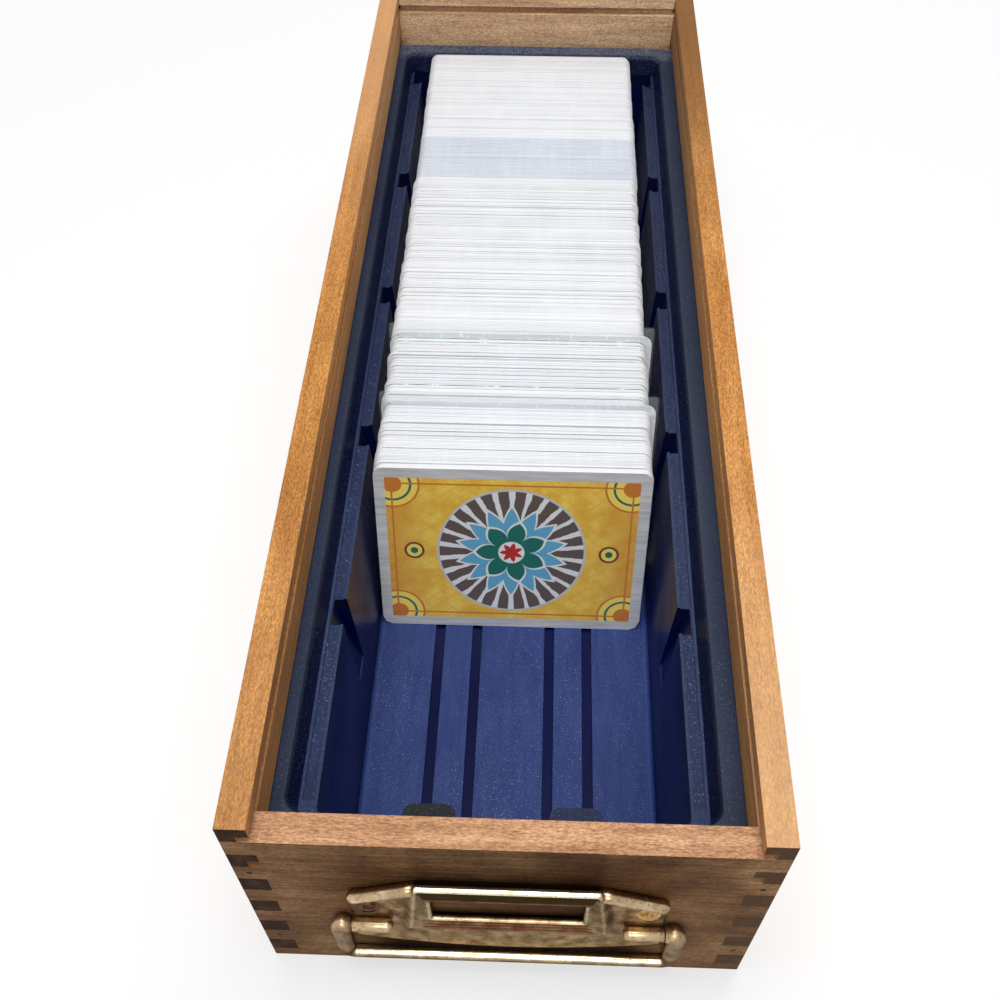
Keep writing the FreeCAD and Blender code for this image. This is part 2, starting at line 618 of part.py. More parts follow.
def make_plate():
    """The stamped plate: bevelled label frame, beaded wings and the two rolled ears."""
    body = new_body("pull_stamping")
    put_on_front(body)

    outline = new_sketch(body, "XZ_Plane", "plate_outline")
    half = "sizes.plate_half_width"
    low = "-sizes.plate_corner_drop"
    corners = [(half, low), ("sizes.wing_half_width", "sizes.wing_rise"),
               ("sizes.crown_half_width", "sizes.crown_rise"),
               ("-sizes.crown_half_width", "sizes.crown_rise"),
               ("-sizes.wing_half_width", "sizes.wing_rise"), (f"-{half}", low)]
    right = [(size("plate_half_width"), -size("plate_corner_drop")),
             (size("wing_half_width"), size("wing_rise")), (size("crown_half_width"), size("crown_rise"))]
    guess = [Vector(x, y, 0) for x, y in right + [(-x, y) for x, y in reversed(right)]]
    for begin, end in zip(guess, guess[1:]):
        outline.addGeometry(Part.LineSegment(begin, end), False)
    arch = outline.addGeometry(Part.Arc(guess[-1], Vector(0, -size("plate_centre_drop"), 0), guess[0]), False)
    for line in range(len(corners) - 1):
        if line:
            outline.addConstraint(Sketcher.Constraint("Coincident", line - 1, 2, line, 1))
        place_point(outline, line, 1, *corners[line])
    last = len(corners) - 2
    place_point(outline, last, 2, *corners[-1])
    outline.addConstraint(Sketcher.Constraint("Coincident", last, 2, arch, 1))
    outline.addConstraint(Sketcher.Constraint("Coincident", arch, 2, 0, 1))
    sagitta = "(sizes.plate_centre_drop - sizes.plate_corner_drop)"
    drive(outline, "Radius", arch, to=f"({half} * {half} + {sagitta} * {sagitta}) / (2 * {sagitta})")
    pad(body, outline, "sizes.plate_thickness")

    # the label frame: its rim stands out further at the top than at the bottom
    lean = ("atan((sizes.rim_top_stand - sizes.rim_low_stand) / (sizes.rim_top_rise + sizes.rim_low_drop))")

    def frame_profile(name, stand, spread, tilt):
        sketch = new_sketch(body, "XZ_Plane", name, stand)
        if tilt:
            sketch.AttachmentOffset = Placement(Vector(), Rotation(Vector(1, 0, 0), 1))
            sketch.setExpression("AttachmentOffset.Rotation.Angle", tilt)
            sketch.setExpression("AttachmentOffset.Base.z", stand)
        top = f"(sizes.rim_top_half_width + {spread})"
        low = f"(sizes.rim_low_half_width + {spread})"
        high = f"sizes.rim_top_rise + ({spread}) * {0 if tilt is None else 1}"
        base = f"-sizes.rim_low_drop - ({spread})"
        polygon(sketch, [(f"-{low}", base), (low, base), (top, high), (f"-{top}", high)])
        return sketch

    middle_stand = ("sizes.rim_low_stand + (sizes.rim_top_stand - sizes.rim_low_stand)"
                    " * sizes.rim_low_drop / (sizes.rim_top_rise + sizes.rim_low_drop)")
    foot = frame_profile("frame_foot", "0", "sizes.frame_foot_spread", None)
    rim = frame_profile("frame_rim", middle_stand, "0", lean)
    loft(body, "AdditiveLoft", foot, rim)

    # the bevel runs in from the rim to a flat lip round the window
    rim_inner = frame_profile("bevel_rim", f"{middle_stand} + 0.01", "-sizes.rim_flat", lean)
    lip = new_sketch(body, "XZ_Plane", "bevel_lip", "sizes.lip_stand")
    lip_half = "(sizes.window_half_width + sizes.window_lip)"
    rectangle(lip, f"-{lip_half}", lip_half, "sizes.window_low - sizes.window_lip",
              "sizes.window_top + sizes.window_lip")
    loft(body, "SubtractiveLoft", rim_inner, lip)
    window = new_sketch(body, "XZ_Plane", "window", "sizes.rim_top_stand")
    rectangle(window, "-sizes.window_half_width", "sizes.window_half_width", "sizes.window_low",
              "sizes.window_top")
    pocket(body, window, "sizes.rim_top_stand + 1")

    # the label slides in from above, behind the frame
    slide = new_sketch(body, "YZ_Plane", "label_pocket")
    seat = "sizes.window_low - sizes.window_lip"
    polygon(slide, [("1", seat), ("-sizes.label_gap", seat),
                    ("-sizes.label_gap", "sizes.window_top + sizes.window_lip"),
                    ("-sizes.label_gap_top", "sizes.rim_top_rise + 1"), ("1", "sizes.rim_top_rise + 1")])
    pocket(body, slide, "2 * sizes.label_half_width", midplane=True)

    # rolled ears: a tube on each wing, with the root of its roll
    ears = new_sketch(body, "YZ_Plane", "ears", "sizes.ear_inner")
    circle(ears, f"-{EAR_STAND}", "0", "sizes.ear_radius")
    roots = new_sketch(body, "YZ_Plane", "ear_roots", "sizes.ear_inner")
    rectangle(roots, f"-{EAR_STAND}", "-sizes.plate_thickness / 2", "-sizes.ear_radius", "0")
    bores = new_sketch(body, "YZ_Plane", "ear_bores", "sizes.ear_inner")
    circle(bores, f"-{EAR_STAND}", "0", "sizes.ear_bore_radius")
    reach = "sizes.ear_outer - sizes.ear_inner"
    ear = pad(body, ears, reach)
    root = pad(body, roots, reach)
    bore = pocket(body, bores, reach, reverse=True)
    mirror = body.newObject("PartDesign::Mirrored", "ear_mirror")
    mirror.Originals = [ear, root, bore]
    mirror.MirrorPlane = (outline, ["V_Axis"])
    body.Tip = mirror

    # screw holes
    holes = new_sketch(body, "XZ_Plane", "plate_holes")
    for hand in (-1, 1):
        circle(holes, f"{hand} * sizes.screw_spacing / 2", "sizes.screw_rise",
               "sizes.screw_radius + sizes.screw_clearance")
    pocket(body, holes, "sizes.plate_thickness", reverse=True)

    # a rolled bead along the top edge of each wing
    slope = "atan((sizes.crown_rise - sizes.wing_rise) / (sizes.wing_half_width - sizes.crown_half_width))"
    run = ("sqrt((sizes.crown_rise - sizes.wing_rise)^2"
           " + (sizes.wing_half_width - sizes.crown_half_width)^2)")
    parts = [body]
    for hand in (-1, 1):
        bead = doc.addObject("Part::Cylinder", "bead")
        bead.setExpression("Radius", "sizes.bead_radius")
        bead.setExpression("Height", f"{run} - sizes.bead_radius")
        bead.Placement = Placement(Vector(), Rotation(Vector(0, 1, 0), 90 * hand))
        bead.setExpression("Placement.Rotation.Angle", f"90 deg + {slope}")
        tip = doc.addObject("Part::Cone", "bead_tip")
        tip.setExpression("Radius1", "sizes.bead_radius")
        tip.setExpression("Radius2", "sizes.bead_radius / 2")
        tip.setExpression("Height", "sizes.bead_radius / 2")
        tip.Placement = bead.Placement
        tip.setExpression("Placement.Rotation.Angle", f"90 deg + {slope}")
        inner_x = "sizes.crown_half_width"
        outer_x = f"({inner_x} + ({run} - sizes.bead_radius) * cos({slope}))"
        outer_z = f"(sizes.crown_rise - ({run} - sizes.bead_radius) * sin({slope}))"
        for piece, x, z in ((bead, inner_x, "sizes.crown_rise"), (tip, outer_x, outer_z)):
            piece.setExpression("Placement.Base.x", f"sizes.pull_shift + {hand} * {x}")
            piece.setExpression("Placement.Base.y", f"-{HALF_LENGTH} - sizes.bead_radius")
            piece.setExpression("Placement.Base.z", f"sizes.pivot_height + {z} - sizes.bead_radius")
            parts.append(piece)
    whole = doc.addObject("Part::MultiFuse", "pull_plate")
    whole.Shapes = parts
    return whole


def make_bail():
    """A loop of rod with two thinner pins that turn in the ears."""
    body = new_body("bail_handle")
    put_on_front(body)
    path = new_sketch(body, "XZ_Plane", "bail_path", EAR_STAND)
    start_x = "(sizes.ear_outer + sizes.bail_end_gap)"
    inner = "(sizes.bail_half_width - sizes.bail_bend)"
    upper = "-sizes.bail_bend"
    lower = "(sizes.bail_bend - sizes.bail_drop)"
    steps = 4
    right = [(start_x, "0")]
    for level, corner in ((upper, range(steps, -1, -1)), (lower, range(0, -steps - 1, -1))):
        for step in corner:
            turn = f"{90 * step / steps} deg"
            right.append((f"{inner} + sizes.bail_bend * cos({turn})",
                          f"{level} + sizes.bail_bend * sin({turn})"))
    points = right + [(f"-({x})", z) for x, z in reversed(right)]
    open_line(path, points)

    section = new_sketch(body, "YZ_Plane", "bail_section", start_x)
    circle(section, f"-{EAR_STAND}", "0", "sizes.bail_radius")
    rod = body.newObject("PartDesign::AdditivePipe", "bail_rod")
    rod.Profile = section
    rod.Spine = path
    rod.Transition = "Right corner"
    body.Tip = rod

    for hand in (-1, 1):
        name = "pin_left" if hand < 0 else "pin_right"
        pin = new_sketch(body, "YZ_Plane", name, f"{hand} * {start_x}")
        circle(pin, f"-{EAR_STAND}", "0", "sizes.bail_pin_radius")
        pad(body, pin, "sizes.bail_pin_length", reverse=hand > 0)
    return body


def make_screws():
    """Two slotted round-head wood screws."""
    screws = []
    for hand in (-1, 1):
        name = "screw_left" if hand < 0 else "screw_right"
        body = new_body(name)
        body.setExpression("Placement.Base.x", f"sizes.pull_shift + {hand} * sizes.screw_spacing / 2")
        body.setExpression("Placement.Base.y", f"-{HALF_LENGTH}")
        body.setExpression("Placement.Base.z", "sizes.pivot_height + sizes.screw_rise")
        shank = new_sketch(body, "XZ_Plane", name + "_shank", "sizes.plate_thickness")
        circle(shank, "0", "0", "sizes.screw_radius")
        pad(body, shank, "sizes.screw_length", reverse=True)
        # the dome is a slice of a ball whose flat side lies on the plate
        dome = new_sketch(body, "YZ_Plane", name + "_dome")
        seat = -size("plate_thickness")
        crown = seat - size("screw_head_height")
        rim = Vector(seat, size("screw_head_radius"), 0)
        shoulder = Vector(seat * 0.25 + crown * 0.75, size("screw_head_radius") * 0.6, 0)
        top = Vector(crown, 0, 0)
        centre = dome.addGeometry(Part.LineSegment(top, Vector(seat, 0, 0)), False)
        base = dome.addGeometry(Part.LineSegment(Vector(seat, 0, 0), rim), False)
        cap = dome.addGeometry(Part.Arc(rim, shoulder, top), False)
        dome.addConstraint(Sketcher.Constraint("Coincident", centre, 2, base, 1))
        dome.addConstraint(Sketcher.Constraint("Coincident", base, 2, cap, 1))
        dome.addConstraint(Sketcher.Constraint("Coincident", cap, 2, centre, 1))
        place_point(dome, centre, 2, "-sizes.plate_thickness", "0")
        place_point(dome, centre, 1, "-sizes.plate_thickness - sizes.screw_head_height", "0")
        place_point(dome, base, 2, "-sizes.plate_thickness", "sizes.screw_head_radius")
        drive(dome, "Radius", cap,
              to="(sizes.screw_head_radius^2 + sizes.screw_head_height^2) / (2 * sizes.screw_head_height)")
        head = body.newObject("PartDesign::Revolution", name + "_head")
        head.Profile = dome
        head.ReferenceAxis = (dome, ["H_Axis"])
        head.Angle = 360
        body.Tip = head
        slot = new_sketch(body, "XZ_Plane", name + "_slot", "sizes.plate_thickness + sizes.screw_head_height")
        reach = "(sizes.screw_head_radius + 1)"
        rectangle(slot, f"-{reach}", reach, "-sizes.screw_slot_width / 2", "sizes.screw_slot_width / 2")
        pocket(body, slot, "sizes.screw_slot_depth")
        screws.append(body)
    group = doc.addObject("Part::Compound", "pull_screws")
    group.Links = screws
    return group


# ---------------------------------------------------------------- the cards

def leaning_sheet(name, width, height, corner, left, foot, rise, lean, run, tilt="0"):
    """A rounded sheet that leans back, drawn out along the tray floor by its run.

    Its own origin is its lower left corner, about which it may be tilted in its own plane."""
    outline = doc.addObject("Sketcher::SketchObject", name + "_outline")
    rounded_rectangle(outline, "0", width, "0", height, corner)
    turn = (f"rotation(vector(1; 0; 0); 90 - {lean}) * rotation(vector(0; 0; 1); {tilt})")
    outline.setExpression("Placement", f"placement(vector({left}; {foot}; {rise}); {turn})")
    solid = doc.addObject("Part::Extrusion", name)
    solid.Base = outline
    solid.DirMode = "Custom"
    solid.Dir = Vector(0, 1, 0)
    solid.Solid = True
    solid.setExpression("LengthFwd", run)
    return solid


def plain_sheet(name, offset, foot, lean, run):
    """A card, or a packet of them, that stands square on the tray floor."""
    return leaning_sheet(name, "sizes.card_width", "sizes.card_height", "sizes.card_corner",
                         f"-sizes.tray_shift - {offset} - sizes.card_width / 2", foot, CARD_FOOT, lean, run)


def sleeved_card(label, foot, lean):
    """A card in a clear sleeve, which is open along its top edge and rests on the floor's fillets."""
    left = f"-sizes.tray_shift - sizes.card_width / 2 - sizes.sleeve_{label}_overhang"
    rise = f"{FLOOR} + sizes.sleeve_{label}_rise"
    tilt = f"sizes.sleeve_{label}_tilt"
    foot = f"({foot} + ({rise} - {CARD_FOOT}) * tan({lean}))"
    sleeve_width = "(sizes.card_width + sizes.sleeve_spare_width)"
    sleeve_height = "(sizes.card_height + sizes.sleeve_spare_height)"
    outer = leaning_sheet(f"sleeve_{label}_blank", sleeve_width, sleeve_height,
                          "sizes.sleeve_corner", left, foot, rise, lean,
                          f"sizes.sleeve_thickness / cos({lean})", tilt)

    def inside(name, x, y, width, corner, step, thickness):
        """A sheet whose lower left corner is x and y along the sleeve's own edges."""
        return leaning_sheet(name, width, "sizes.card_height" if corner else sleeve_height,
                             corner or "sizes.sleeve_corner",
                             f"{left} + {x} * cos({tilt}) - {y} * sin({tilt})",
                             f"{foot} + {step} / cos({lean})"
                             f" + ({x} * sin({tilt}) + {y} * cos({tilt})) * sin({lean})",
                             f"{rise} + ({x} * sin({tilt}) + {y} * cos({tilt})) * cos({lean})",
                             lean, f"{thickness} / cos({lean})", tilt)

    seam = "sizes.sleeve_seam"
    hollow = inside(f"sleeve_{label}_hollow", seam, seam, f"{sleeve_width} - 2 * {seam}", None,
                    "sizes.sleeve_film", "(sizes.sleeve_thickness - 2 * sizes.sleeve_film)")
    sleeve = cut_away(f"card_sleeve_{label}", outer, hollow)
    middle = "(sizes.sleeve_thickness - sizes.card_thickness) / 2"
    card = inside(f"sleeved_card_{label}", f"({sleeve_width} - {seam} - sizes.card_side_gap"
                  " - sizes.card_width)", f"({seam} + sizes.card_foot_gap)", "sizes.card_width",
                  "sizes.card_corner", middle, "sizes.card_thickness")
    return [sleeve, card]


def make_cards():
    """The front card, the packets behind it, and the two sleeved cards among them."""
    lean = "sizes.stack_lean"
    foot = STACK_FRONT
    run = f"sizes.card_thickness / cos({lean})"
    made = [plain_sheet("front_card", "sizes.card_packet_1_offset", foot, lean, run)]
    foot = f"{foot} + {run} + sizes.card_gap"
    sleeves = iter(SLEEVES)
    for number, (name, _, _, sleeved) in enumerate(PACKETS):
        lean = f"(sizes.stack_lean + {number} * sizes.lean_step)"
        run = f"sizes.{name}_share * {PACKETS_RUN}"
        made.append(plain_sheet(name, f"sizes.{name}_offset", foot, lean, run))
        foot = f"{foot} + {run} + sizes.card_gap"
        if sleeved:
            made.extend(sleeved_card(next(sleeves), foot, lean))
            foot = f"{foot} + sizes.sleeve_thickness / cos({lean}) + sizes.card_gap"
    return made


# ---------------------------------------------------------------- build and export

brads = make_brads()
nodes = [
    make_side("left_side", -1, brads),
    make_side("right_side", 1, brads),
    make_end("front_panel", -1, brads),
    make_end("back_panel", 1, brads),
    make_bottom(),
    brads,
    make_tray(),
    make_plate(),
    make_bail(),
    make_screws(),
    *make_cards(),
]
doc.recompute()

for item in doc.Objects:
    if "Invalid" in item.State or "Error" in item.State:
        raise RuntimeError(f"{item.Name} failed to build: {item.State}")

os.makedirs("parts", exist_ok=True)
for node in nodes:
    shape = node.Shape
    if shape.isNull() or not shape.isValid():
        raise RuntimeError(f"{node.Label} has no valid shape")
    shape.exportStep(f"parts/{node.Label}.step")
    print(f"{node.Label}: {len(shape.Solids)} solid(s), {shape.Volume:.0f} mm3")
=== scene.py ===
"""The looks of a wooden drawer box for trading cards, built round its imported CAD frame. Metres."""
import math
import random

import bmesh
import bpy
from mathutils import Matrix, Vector


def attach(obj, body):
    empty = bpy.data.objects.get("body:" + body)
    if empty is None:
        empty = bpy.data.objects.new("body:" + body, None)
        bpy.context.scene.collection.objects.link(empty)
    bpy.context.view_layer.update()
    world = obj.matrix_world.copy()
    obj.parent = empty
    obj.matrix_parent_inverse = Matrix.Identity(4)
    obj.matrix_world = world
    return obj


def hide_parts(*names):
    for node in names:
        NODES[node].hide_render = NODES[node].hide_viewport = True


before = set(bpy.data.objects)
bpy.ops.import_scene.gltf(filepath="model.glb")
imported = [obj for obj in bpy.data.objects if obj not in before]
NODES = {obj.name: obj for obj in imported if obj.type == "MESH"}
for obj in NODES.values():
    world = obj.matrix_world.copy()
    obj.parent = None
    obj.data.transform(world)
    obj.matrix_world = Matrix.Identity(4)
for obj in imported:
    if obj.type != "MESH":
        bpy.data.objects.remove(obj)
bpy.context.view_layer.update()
MM = 0.001

# the lens and its place, from the box's own edges in the photograph
CAMERA_PLACE = (0.00443, -0.30446, 0.32858)
CAMERA_TURN = (35.697, 0.229, 2.079)
CAMERA_LENS, CAMERA_SENSOR = 40.193, 36.0
CAMERA_SHIFT = (-0.00297, 0.1009)


# ---------------------------------------------------------------- shader graphs

class Graph:
    """A node tree, with short calls for the nodes used here."""

    def __init__(self, tree):
        self.nodes = tree.nodes
        self.links = tree.links

    def feed(self, socket, value):
        if isinstance(value, bpy.types.NodeSocket):
            self.links.new(value, socket)
        elif isinstance(value, tuple) and len(value) == 3 and socket.type == "RGBA":
            socket.default_value = (*value, 1.0)
        else:
            socket.default_value = value

    def add(self, kind, inputs=None, **settings):
        node = self.nodes.new("ShaderNode" + kind)
        for setting, value in settings.items():
            setattr(node, setting, value)
        for socket, value in (inputs or {}).items():
            self.feed(node.inputs[socket], value)
        return node

    def math(self, operation, *values):
        return self.add("Math", dict(enumerate(values)), operation=operation).outputs[0]

    def times(self, first, *others):
        for other in others:
            first = self.math("MULTIPLY", first, other)
        return first

    def most(self, first, *others):
        for other in others:
            first = self.math("MAXIMUM", first, other)
        return first

    def distance(self, run, lift):
        """The straight distance from two lengths at right angles."""
        return self.math("SQRT", self.math("ADD", self.times(run, run), self.times(lift, lift)))

    def place(self, scale=(1, 1, 1), shift=(0, 0, 0)):
        """The piece's own coordinates, which are the CAD frame's."""
        coordinates = self.add("TexCoord").outputs["Object"]
        return self.add("Mapping", {"Vector": coordinates, "Scale": scale, "Location": shift}).outputs[0]

    def noise(self, scale, shift=(0, 0, 0), detail=3.0, roughness=0.5, distortion=0.0):
        """Noise. scale is about how often it comes and goes in a metre, one number or one for each axis."""
        scale = scale if isinstance(scale, tuple) else (scale,) * 3
        return self.add("TexNoise", {"Vector": self.place(scale, shift), "Scale": 1.0, "Detail": detail,
                                     "Roughness": roughness, "Distortion": distortion}).outputs[0]

    def ramp(self, value, *stops):
        node = self.add("ValToRGB", {"Fac": value})
        elements = node.color_ramp.elements
        while len(elements) < len(stops):
            elements.new(0.5)
        for element, (position, tone) in zip(elements, stops):
            element.position = position
            element.color = (*tone, 1.0)
        return node.outputs[0]

    def band(self, value, low, high, start=0.0, end=1.0):
        """A smooth step from start to end as value goes from low to high."""
        return self.add("MapRange", {"Value": value, "From Min": low, "From Max": high, "To Min": start,
                                     "To Max": end}, interpolation_type="SMOOTHSTEP").outputs[0]

    def mix(self, factor, first, second, blend="MIX"):
        # the Mix node's sockets for colours are inputs 6 and 7 and output 2
        return self.add("Mix", {0: factor, 6: first, 7: second}, data_type="RGBA",
                        blend_type=blend).outputs[2]

    def shade(self, tone, amount):
        """A colour made darker or lighter by a plain number."""
        grey = self.add("CombineColor", {0: amount, 1: amount, 2: amount}).outputs[0]
        return self.mix(1.0, tone, grey, "MULTIPLY")

    def mark(self, name):
        """A value that the mesh carries."""
        return self.add("Attribute", attribute_name=name).outputs["Fac"]

    def axes(self, vector):
        return self.add("SeparateXYZ", {"Vector": vector}).outputs

    def facing(self):
        """How far the surface faces along each of the frame's axes, from -1 to 1."""
        return self.axes(self.add("NewGeometry").outputs["Normal"])

    def background(self):
        """1 for rays that show the background, also in metal or through glass, and 0 for light."""
        rays = self.add("LightPath").outputs
        return self.most(rays["Is Camera Ray"], rays["Is Glossy Ray"], rays["Is Transmission Ray"])


class Finish(Graph):
    """A material with its main shader."""

    def __init__(self, name, **settings):
        self.material = bpy.data.materials.new(name)
        self.material.use_nodes = True
        super().__init__(self.material.node_tree)
        self.shader = self.nodes["Principled BSDF"]
        for socket, value in settings.items():
            self.set(socket.replace("_", " "), value)

    def set(self, socket, value):
        self.feed(self.shader.inputs[socket], value)

    def bump(self, height, strength, distance):
        self.set("Normal", self.add("Bump", {"Height": height, "Strength": strength,
                                             "Distance": distance}).outputs[0])


def colour(red, green, blue):
    """A written sRGB colour of 0 to 255 as the linear one that shaders take."""
    def linear(value):
        value /= 255
        return value / 12.92 if value <= 0.04045 else ((value + 0.055) / 1.055) ** 2.4
    return (linear(red), linear(green), linear(blue))


# ---------------------------------------------------------------- finishes

ACROSS, ALONG = 0, 1

# the wood's markings, each as its length along the grain and its width, in metres
FIGURE, BLOTCHES = (0.09, 0.006), (0.035, 0.018)
FLECKS, PORES, STREAKS = (0.0013, 0.00045), (0.007, 0.0005), (0.05, 0.0012)
END_GRAIN = (0.7, 0.9)
PULL_MIDDLE = 0.0008


def wood(name, grain, tones, seed, rear=None, rear_share=0.0, paled=0.0, dry=0.0):
    """Oiled beech in a light, a middle and a dark tone. grain is the axis that the grain runs along. Towards
    the back the tone turns to rear, and the upward faces turn pale towards the front. dry is how much
    less stain the end grain has drunk."""
    graph = Finish(name, Roughness=0.5, Specular_IOR_Level=0.02)
    across, along, height = graph.axes(graph.place())
    normal = graph.facing()
    shift = (seed * 0.37, seed * 0.53, seed * 0.71)
    light, middle, dark = tones

    def sawn(marking, **settings):
        length, width = marking
        scale = tuple(1 / (length if axis == grain else width) for axis in range(3))
        return graph.noise(scale, shift, **settings)

    speckle = sawn(FLECKS, roughness=0.8, distortion=0.4)
    flecks = graph.band(speckle, 0.34, 0.66, 0.6, 1.26)
    tone = graph.ramp(sawn(FIGURE, detail=4.0, roughness=0.6, distortion=0.8),
                      (0.3, dark), (0.5, middle), (0.68, light))
    tone = graph.mix(graph.band(sawn(BLOTCHES, roughness=0.55), 0.35, 0.68, 0.0, 0.55), tone, dark)
    tone = graph.shade(tone, flecks)
    tone = graph.shade(tone, graph.band(sawn(PORES, detail=1.0), 0.3, 0.42, 0.74, 1.0))
    if rear:
        tone = graph.mix(graph.band(along, -0.02, 0.17, 0.0, rear_share), tone, rear)
    pale = graph.times(graph.band(along, -0.06, -0.2, 0.0, paled), graph.band(normal[2], 0.3, 0.8))
    tone = graph.mix(pale, tone, colour(214, 176, 140))

    # the sides' inner faces are greyer
    if grain == ALONG:
        inward = graph.band(graph.times(across, normal[0]), -0.02, -0.05, 0.0, 0.4)
        tone = graph.mix(inward, tone, colour(178, 138, 104))

    # end grain drinks more of the stain
    cells = graph.noise(1500, shift, detail=2.0)
    soaked = graph.noise(180, shift)
    end_tone = graph.ramp(cells, (0.35, colour(22, 10, 3)), (0.65, colour(54, 30, 14)))
    end_tone = graph.mix(graph.band(soaked, 0.45, 0.7, 0.0, 0.4), end_tone, colour(92, 60, 36))
    end_tone = graph.mix(dry, end_tone, colour(122, 94, 66))
    tone = graph.mix(graph.band(graph.math("ABSOLUTE", normal[grain]), *END_GRAIN), tone, end_tone)

    # the front's outer face is handled and stained darker and also painted darker as painted shade, and round
    # the pull painted shade lies behind the frame's window, under the plate and above the frame
    if grain == ACROSS:
        smudges = graph.noise((26, 26, 34), shift, detail=5.0, roughness=0.6)
        stain_and_shade = graph.ramp(smudges, (0.34, colour(86, 58, 36)), (0.5, colour(118, 85, 55)),
                           (0.66, colour(150, 115, 80)))
        stain_and_shade = graph.shade(stain_and_shade, flecks)
        stain_and_shade = graph.shade(stain_and_shade, graph.band(sawn(STREAKS, roughness=0.6), 0.35, 0.62, 0.74, 1.1))
        aside = graph.math("ABSOLUTE", graph.math("SUBTRACT", across, PULL_MIDDLE))

        def patch(fade, rise, fall, left=0.0):
            """A patch of painted shade that fades sideways, sets in over one height and goes over another."""
            return graph.times(graph.band(aside, *fade, 1.0, 0.0), graph.band(height, *rise),
                               graph.band(height, *fall, 1.0, left))

        behind = patch((0.022, 0.026), (0.024, 0.028), (0.038, 0.046), left=0.45)
        under = graph.times(patch((0.030, 0.047), (0.0005, 0.0065), (0.018, 0.034)), 0.95,
                            graph.band(smudges, 0.3, 0.5, 0.86, 1.0))
        above = graph.times(patch((0.021, 0.029), (0.058, 0.061), (0.0660, 0.0715)), 0.5)
        stain_and_shade = graph.mix(graph.most(behind, under, above), stain_and_shade, colour(30, 16, 8))
        outer = graph.times(graph.band(normal[1], -0.7, -0.9), graph.band(along, -0.196, -0.198))
        tone = graph.mix(outer, tone, stain_and_shade)
    graph.set("Base Color", tone)
    graph.bump(speckle, 0.3, 0.0004)
    return graph.material


# heights over which the tray's looks give way to one another, in metres
FLOOR_GROOVES, FLOOR_BEND = (0.0080, 0.0087), (0.012, 0.016)
WELL, LEDGE, RIMS = (0.02, 0.05), (0.0585, 0.0595), (0.0595, 0.0599)
UPPER_WELL, FLANGE, LUG_TOPS = (0.05, 0.058), (0.0655, 0.0668), (0.0679, 0.0682)


def tray_plastic():
    """Navy moulding: deep blue inside, greyer along the flange, with the dust and scratches of use,
    a painted sheen on its upward faces and painted shade in the floor's grooves.
    """
    graph = Finish("tray_plastic", IOR=1.5, Specular_IOR_Level=0.06)
    across, along, height = graph.axes(graph.place())
    up = graph.facing()[2]
    bare_floor = graph.band(height, *FLOOR_GROOVES)
    wide = graph.noise((14, 5, 14), detail=4.0)
    deep = graph.ramp(wide, (0.3, colour(5, 15, 66)), (0.7, colour(9, 24, 88)))
    dim = graph.ramp(wide, (0.3, colour(9, 14, 42)), (0.7, colour(18, 26, 60)))
    faded = graph.ramp(wide, (0.3, colour(38, 45, 63)), (0.7, colour(52, 58, 73)))
    base = graph.mix(graph.band(height, *UPPER_WELL), deep, dim)
    base = graph.mix(graph.band(height, *FLANGE), base, faded)
    # painted shade: the floor's grooves are darkened
    base = graph.shade(base, graph.band(height, *FLOOR_GROOVES, 0.55, 1.0))

    # the floor and the ledges' rims are hazed with fine scuffs and painted lighter as a painted sheen and
    # highlight, more towards the front, and the floor's grooves stay clean
    scuffs = graph.noise((420, 60, 420), (3, 1, 2), detail=4.0, roughness=0.65)
    rims = graph.times(graph.band(height, *RIMS, 0.72, 1.0), graph.band(height, 0.062, 0.066, 1.0, 0.25))
    scuff_haze_and_sheen = graph.times(graph.band(up, 0.6, 0.97), graph.band(scuffs, 0.2, 0.8, 0.16, 0.26), bare_floor,
                       graph.most(rims, graph.band(height, *WELL, 1.0, 0.0)),
                       graph.band(along, -0.12, 0.02, 1.0, 0.5))
    scuffed_and_sheen = graph.mix(graph.band(height, *WELL), colour(108, 132, 196), colour(98, 116, 160))
    base = graph.mix(scuff_haze_and_sheen, base, scuffed_and_sheen)

    # the floor's rounded edges catch the light
    bend = graph.times(graph.band(up, 0.15, 0.5), graph.band(up, 0.85, 0.99, 1.0, 0.0),
                       graph.band(height, *FLOOR_BEND, 0.2, 0.0))
    base = graph.mix(bend, base, colour(96, 128, 206))
    lug = graph.mix(graph.band(across, -0.01, 0.01), colour(34, 37, 40), colour(38, 45, 72))
    base = graph.mix(graph.band(height, *LUG_TOPS), base, lug)

    # dust lies in patches on the floor and the ledges, less on the flange and thick at its rear end
    specks = graph.noise(2500, detail=2.0, roughness=0.7)
    patches = graph.noise((38, 24, 38), (3, 1, 2))
    sparse = graph.most(graph.times(graph.band(patches, 0.36, 0.6, 0.15, 1.0), bare_floor),
                        graph.band(height, *LEDGE, 0.0, 0.7))
    sparse = graph.times(sparse, graph.band(height, 0.0664, 0.0668, 1.0, 0.5))
    heel = graph.times(graph.band(along, 0.176, 0.181, 0.0, 0.8), graph.band(height, 0.065, 0.067))
    dusty = graph.most(graph.times(graph.band(specks, 0.62, 0.7), sparse),
                       graph.times(graph.band(specks, 0.5, 0.62), heel))
    settled = graph.times(dusty, graph.band(up, 0.02, 0.5, 0.0, 0.62))
    graph.set("Base Color", graph.mix(settled, base, colour(176, 184, 205)))
    gloss = graph.band(patches, 0.3, 0.8, 0.24, 0.4)
    graph.set("Roughness", graph.math("ADD", gloss, graph.times(settled, 0.4)))
    graph.bump(graph.noise((60, 18, 60), detail=2.0), 0.08, 0.0006)
    return graph.material


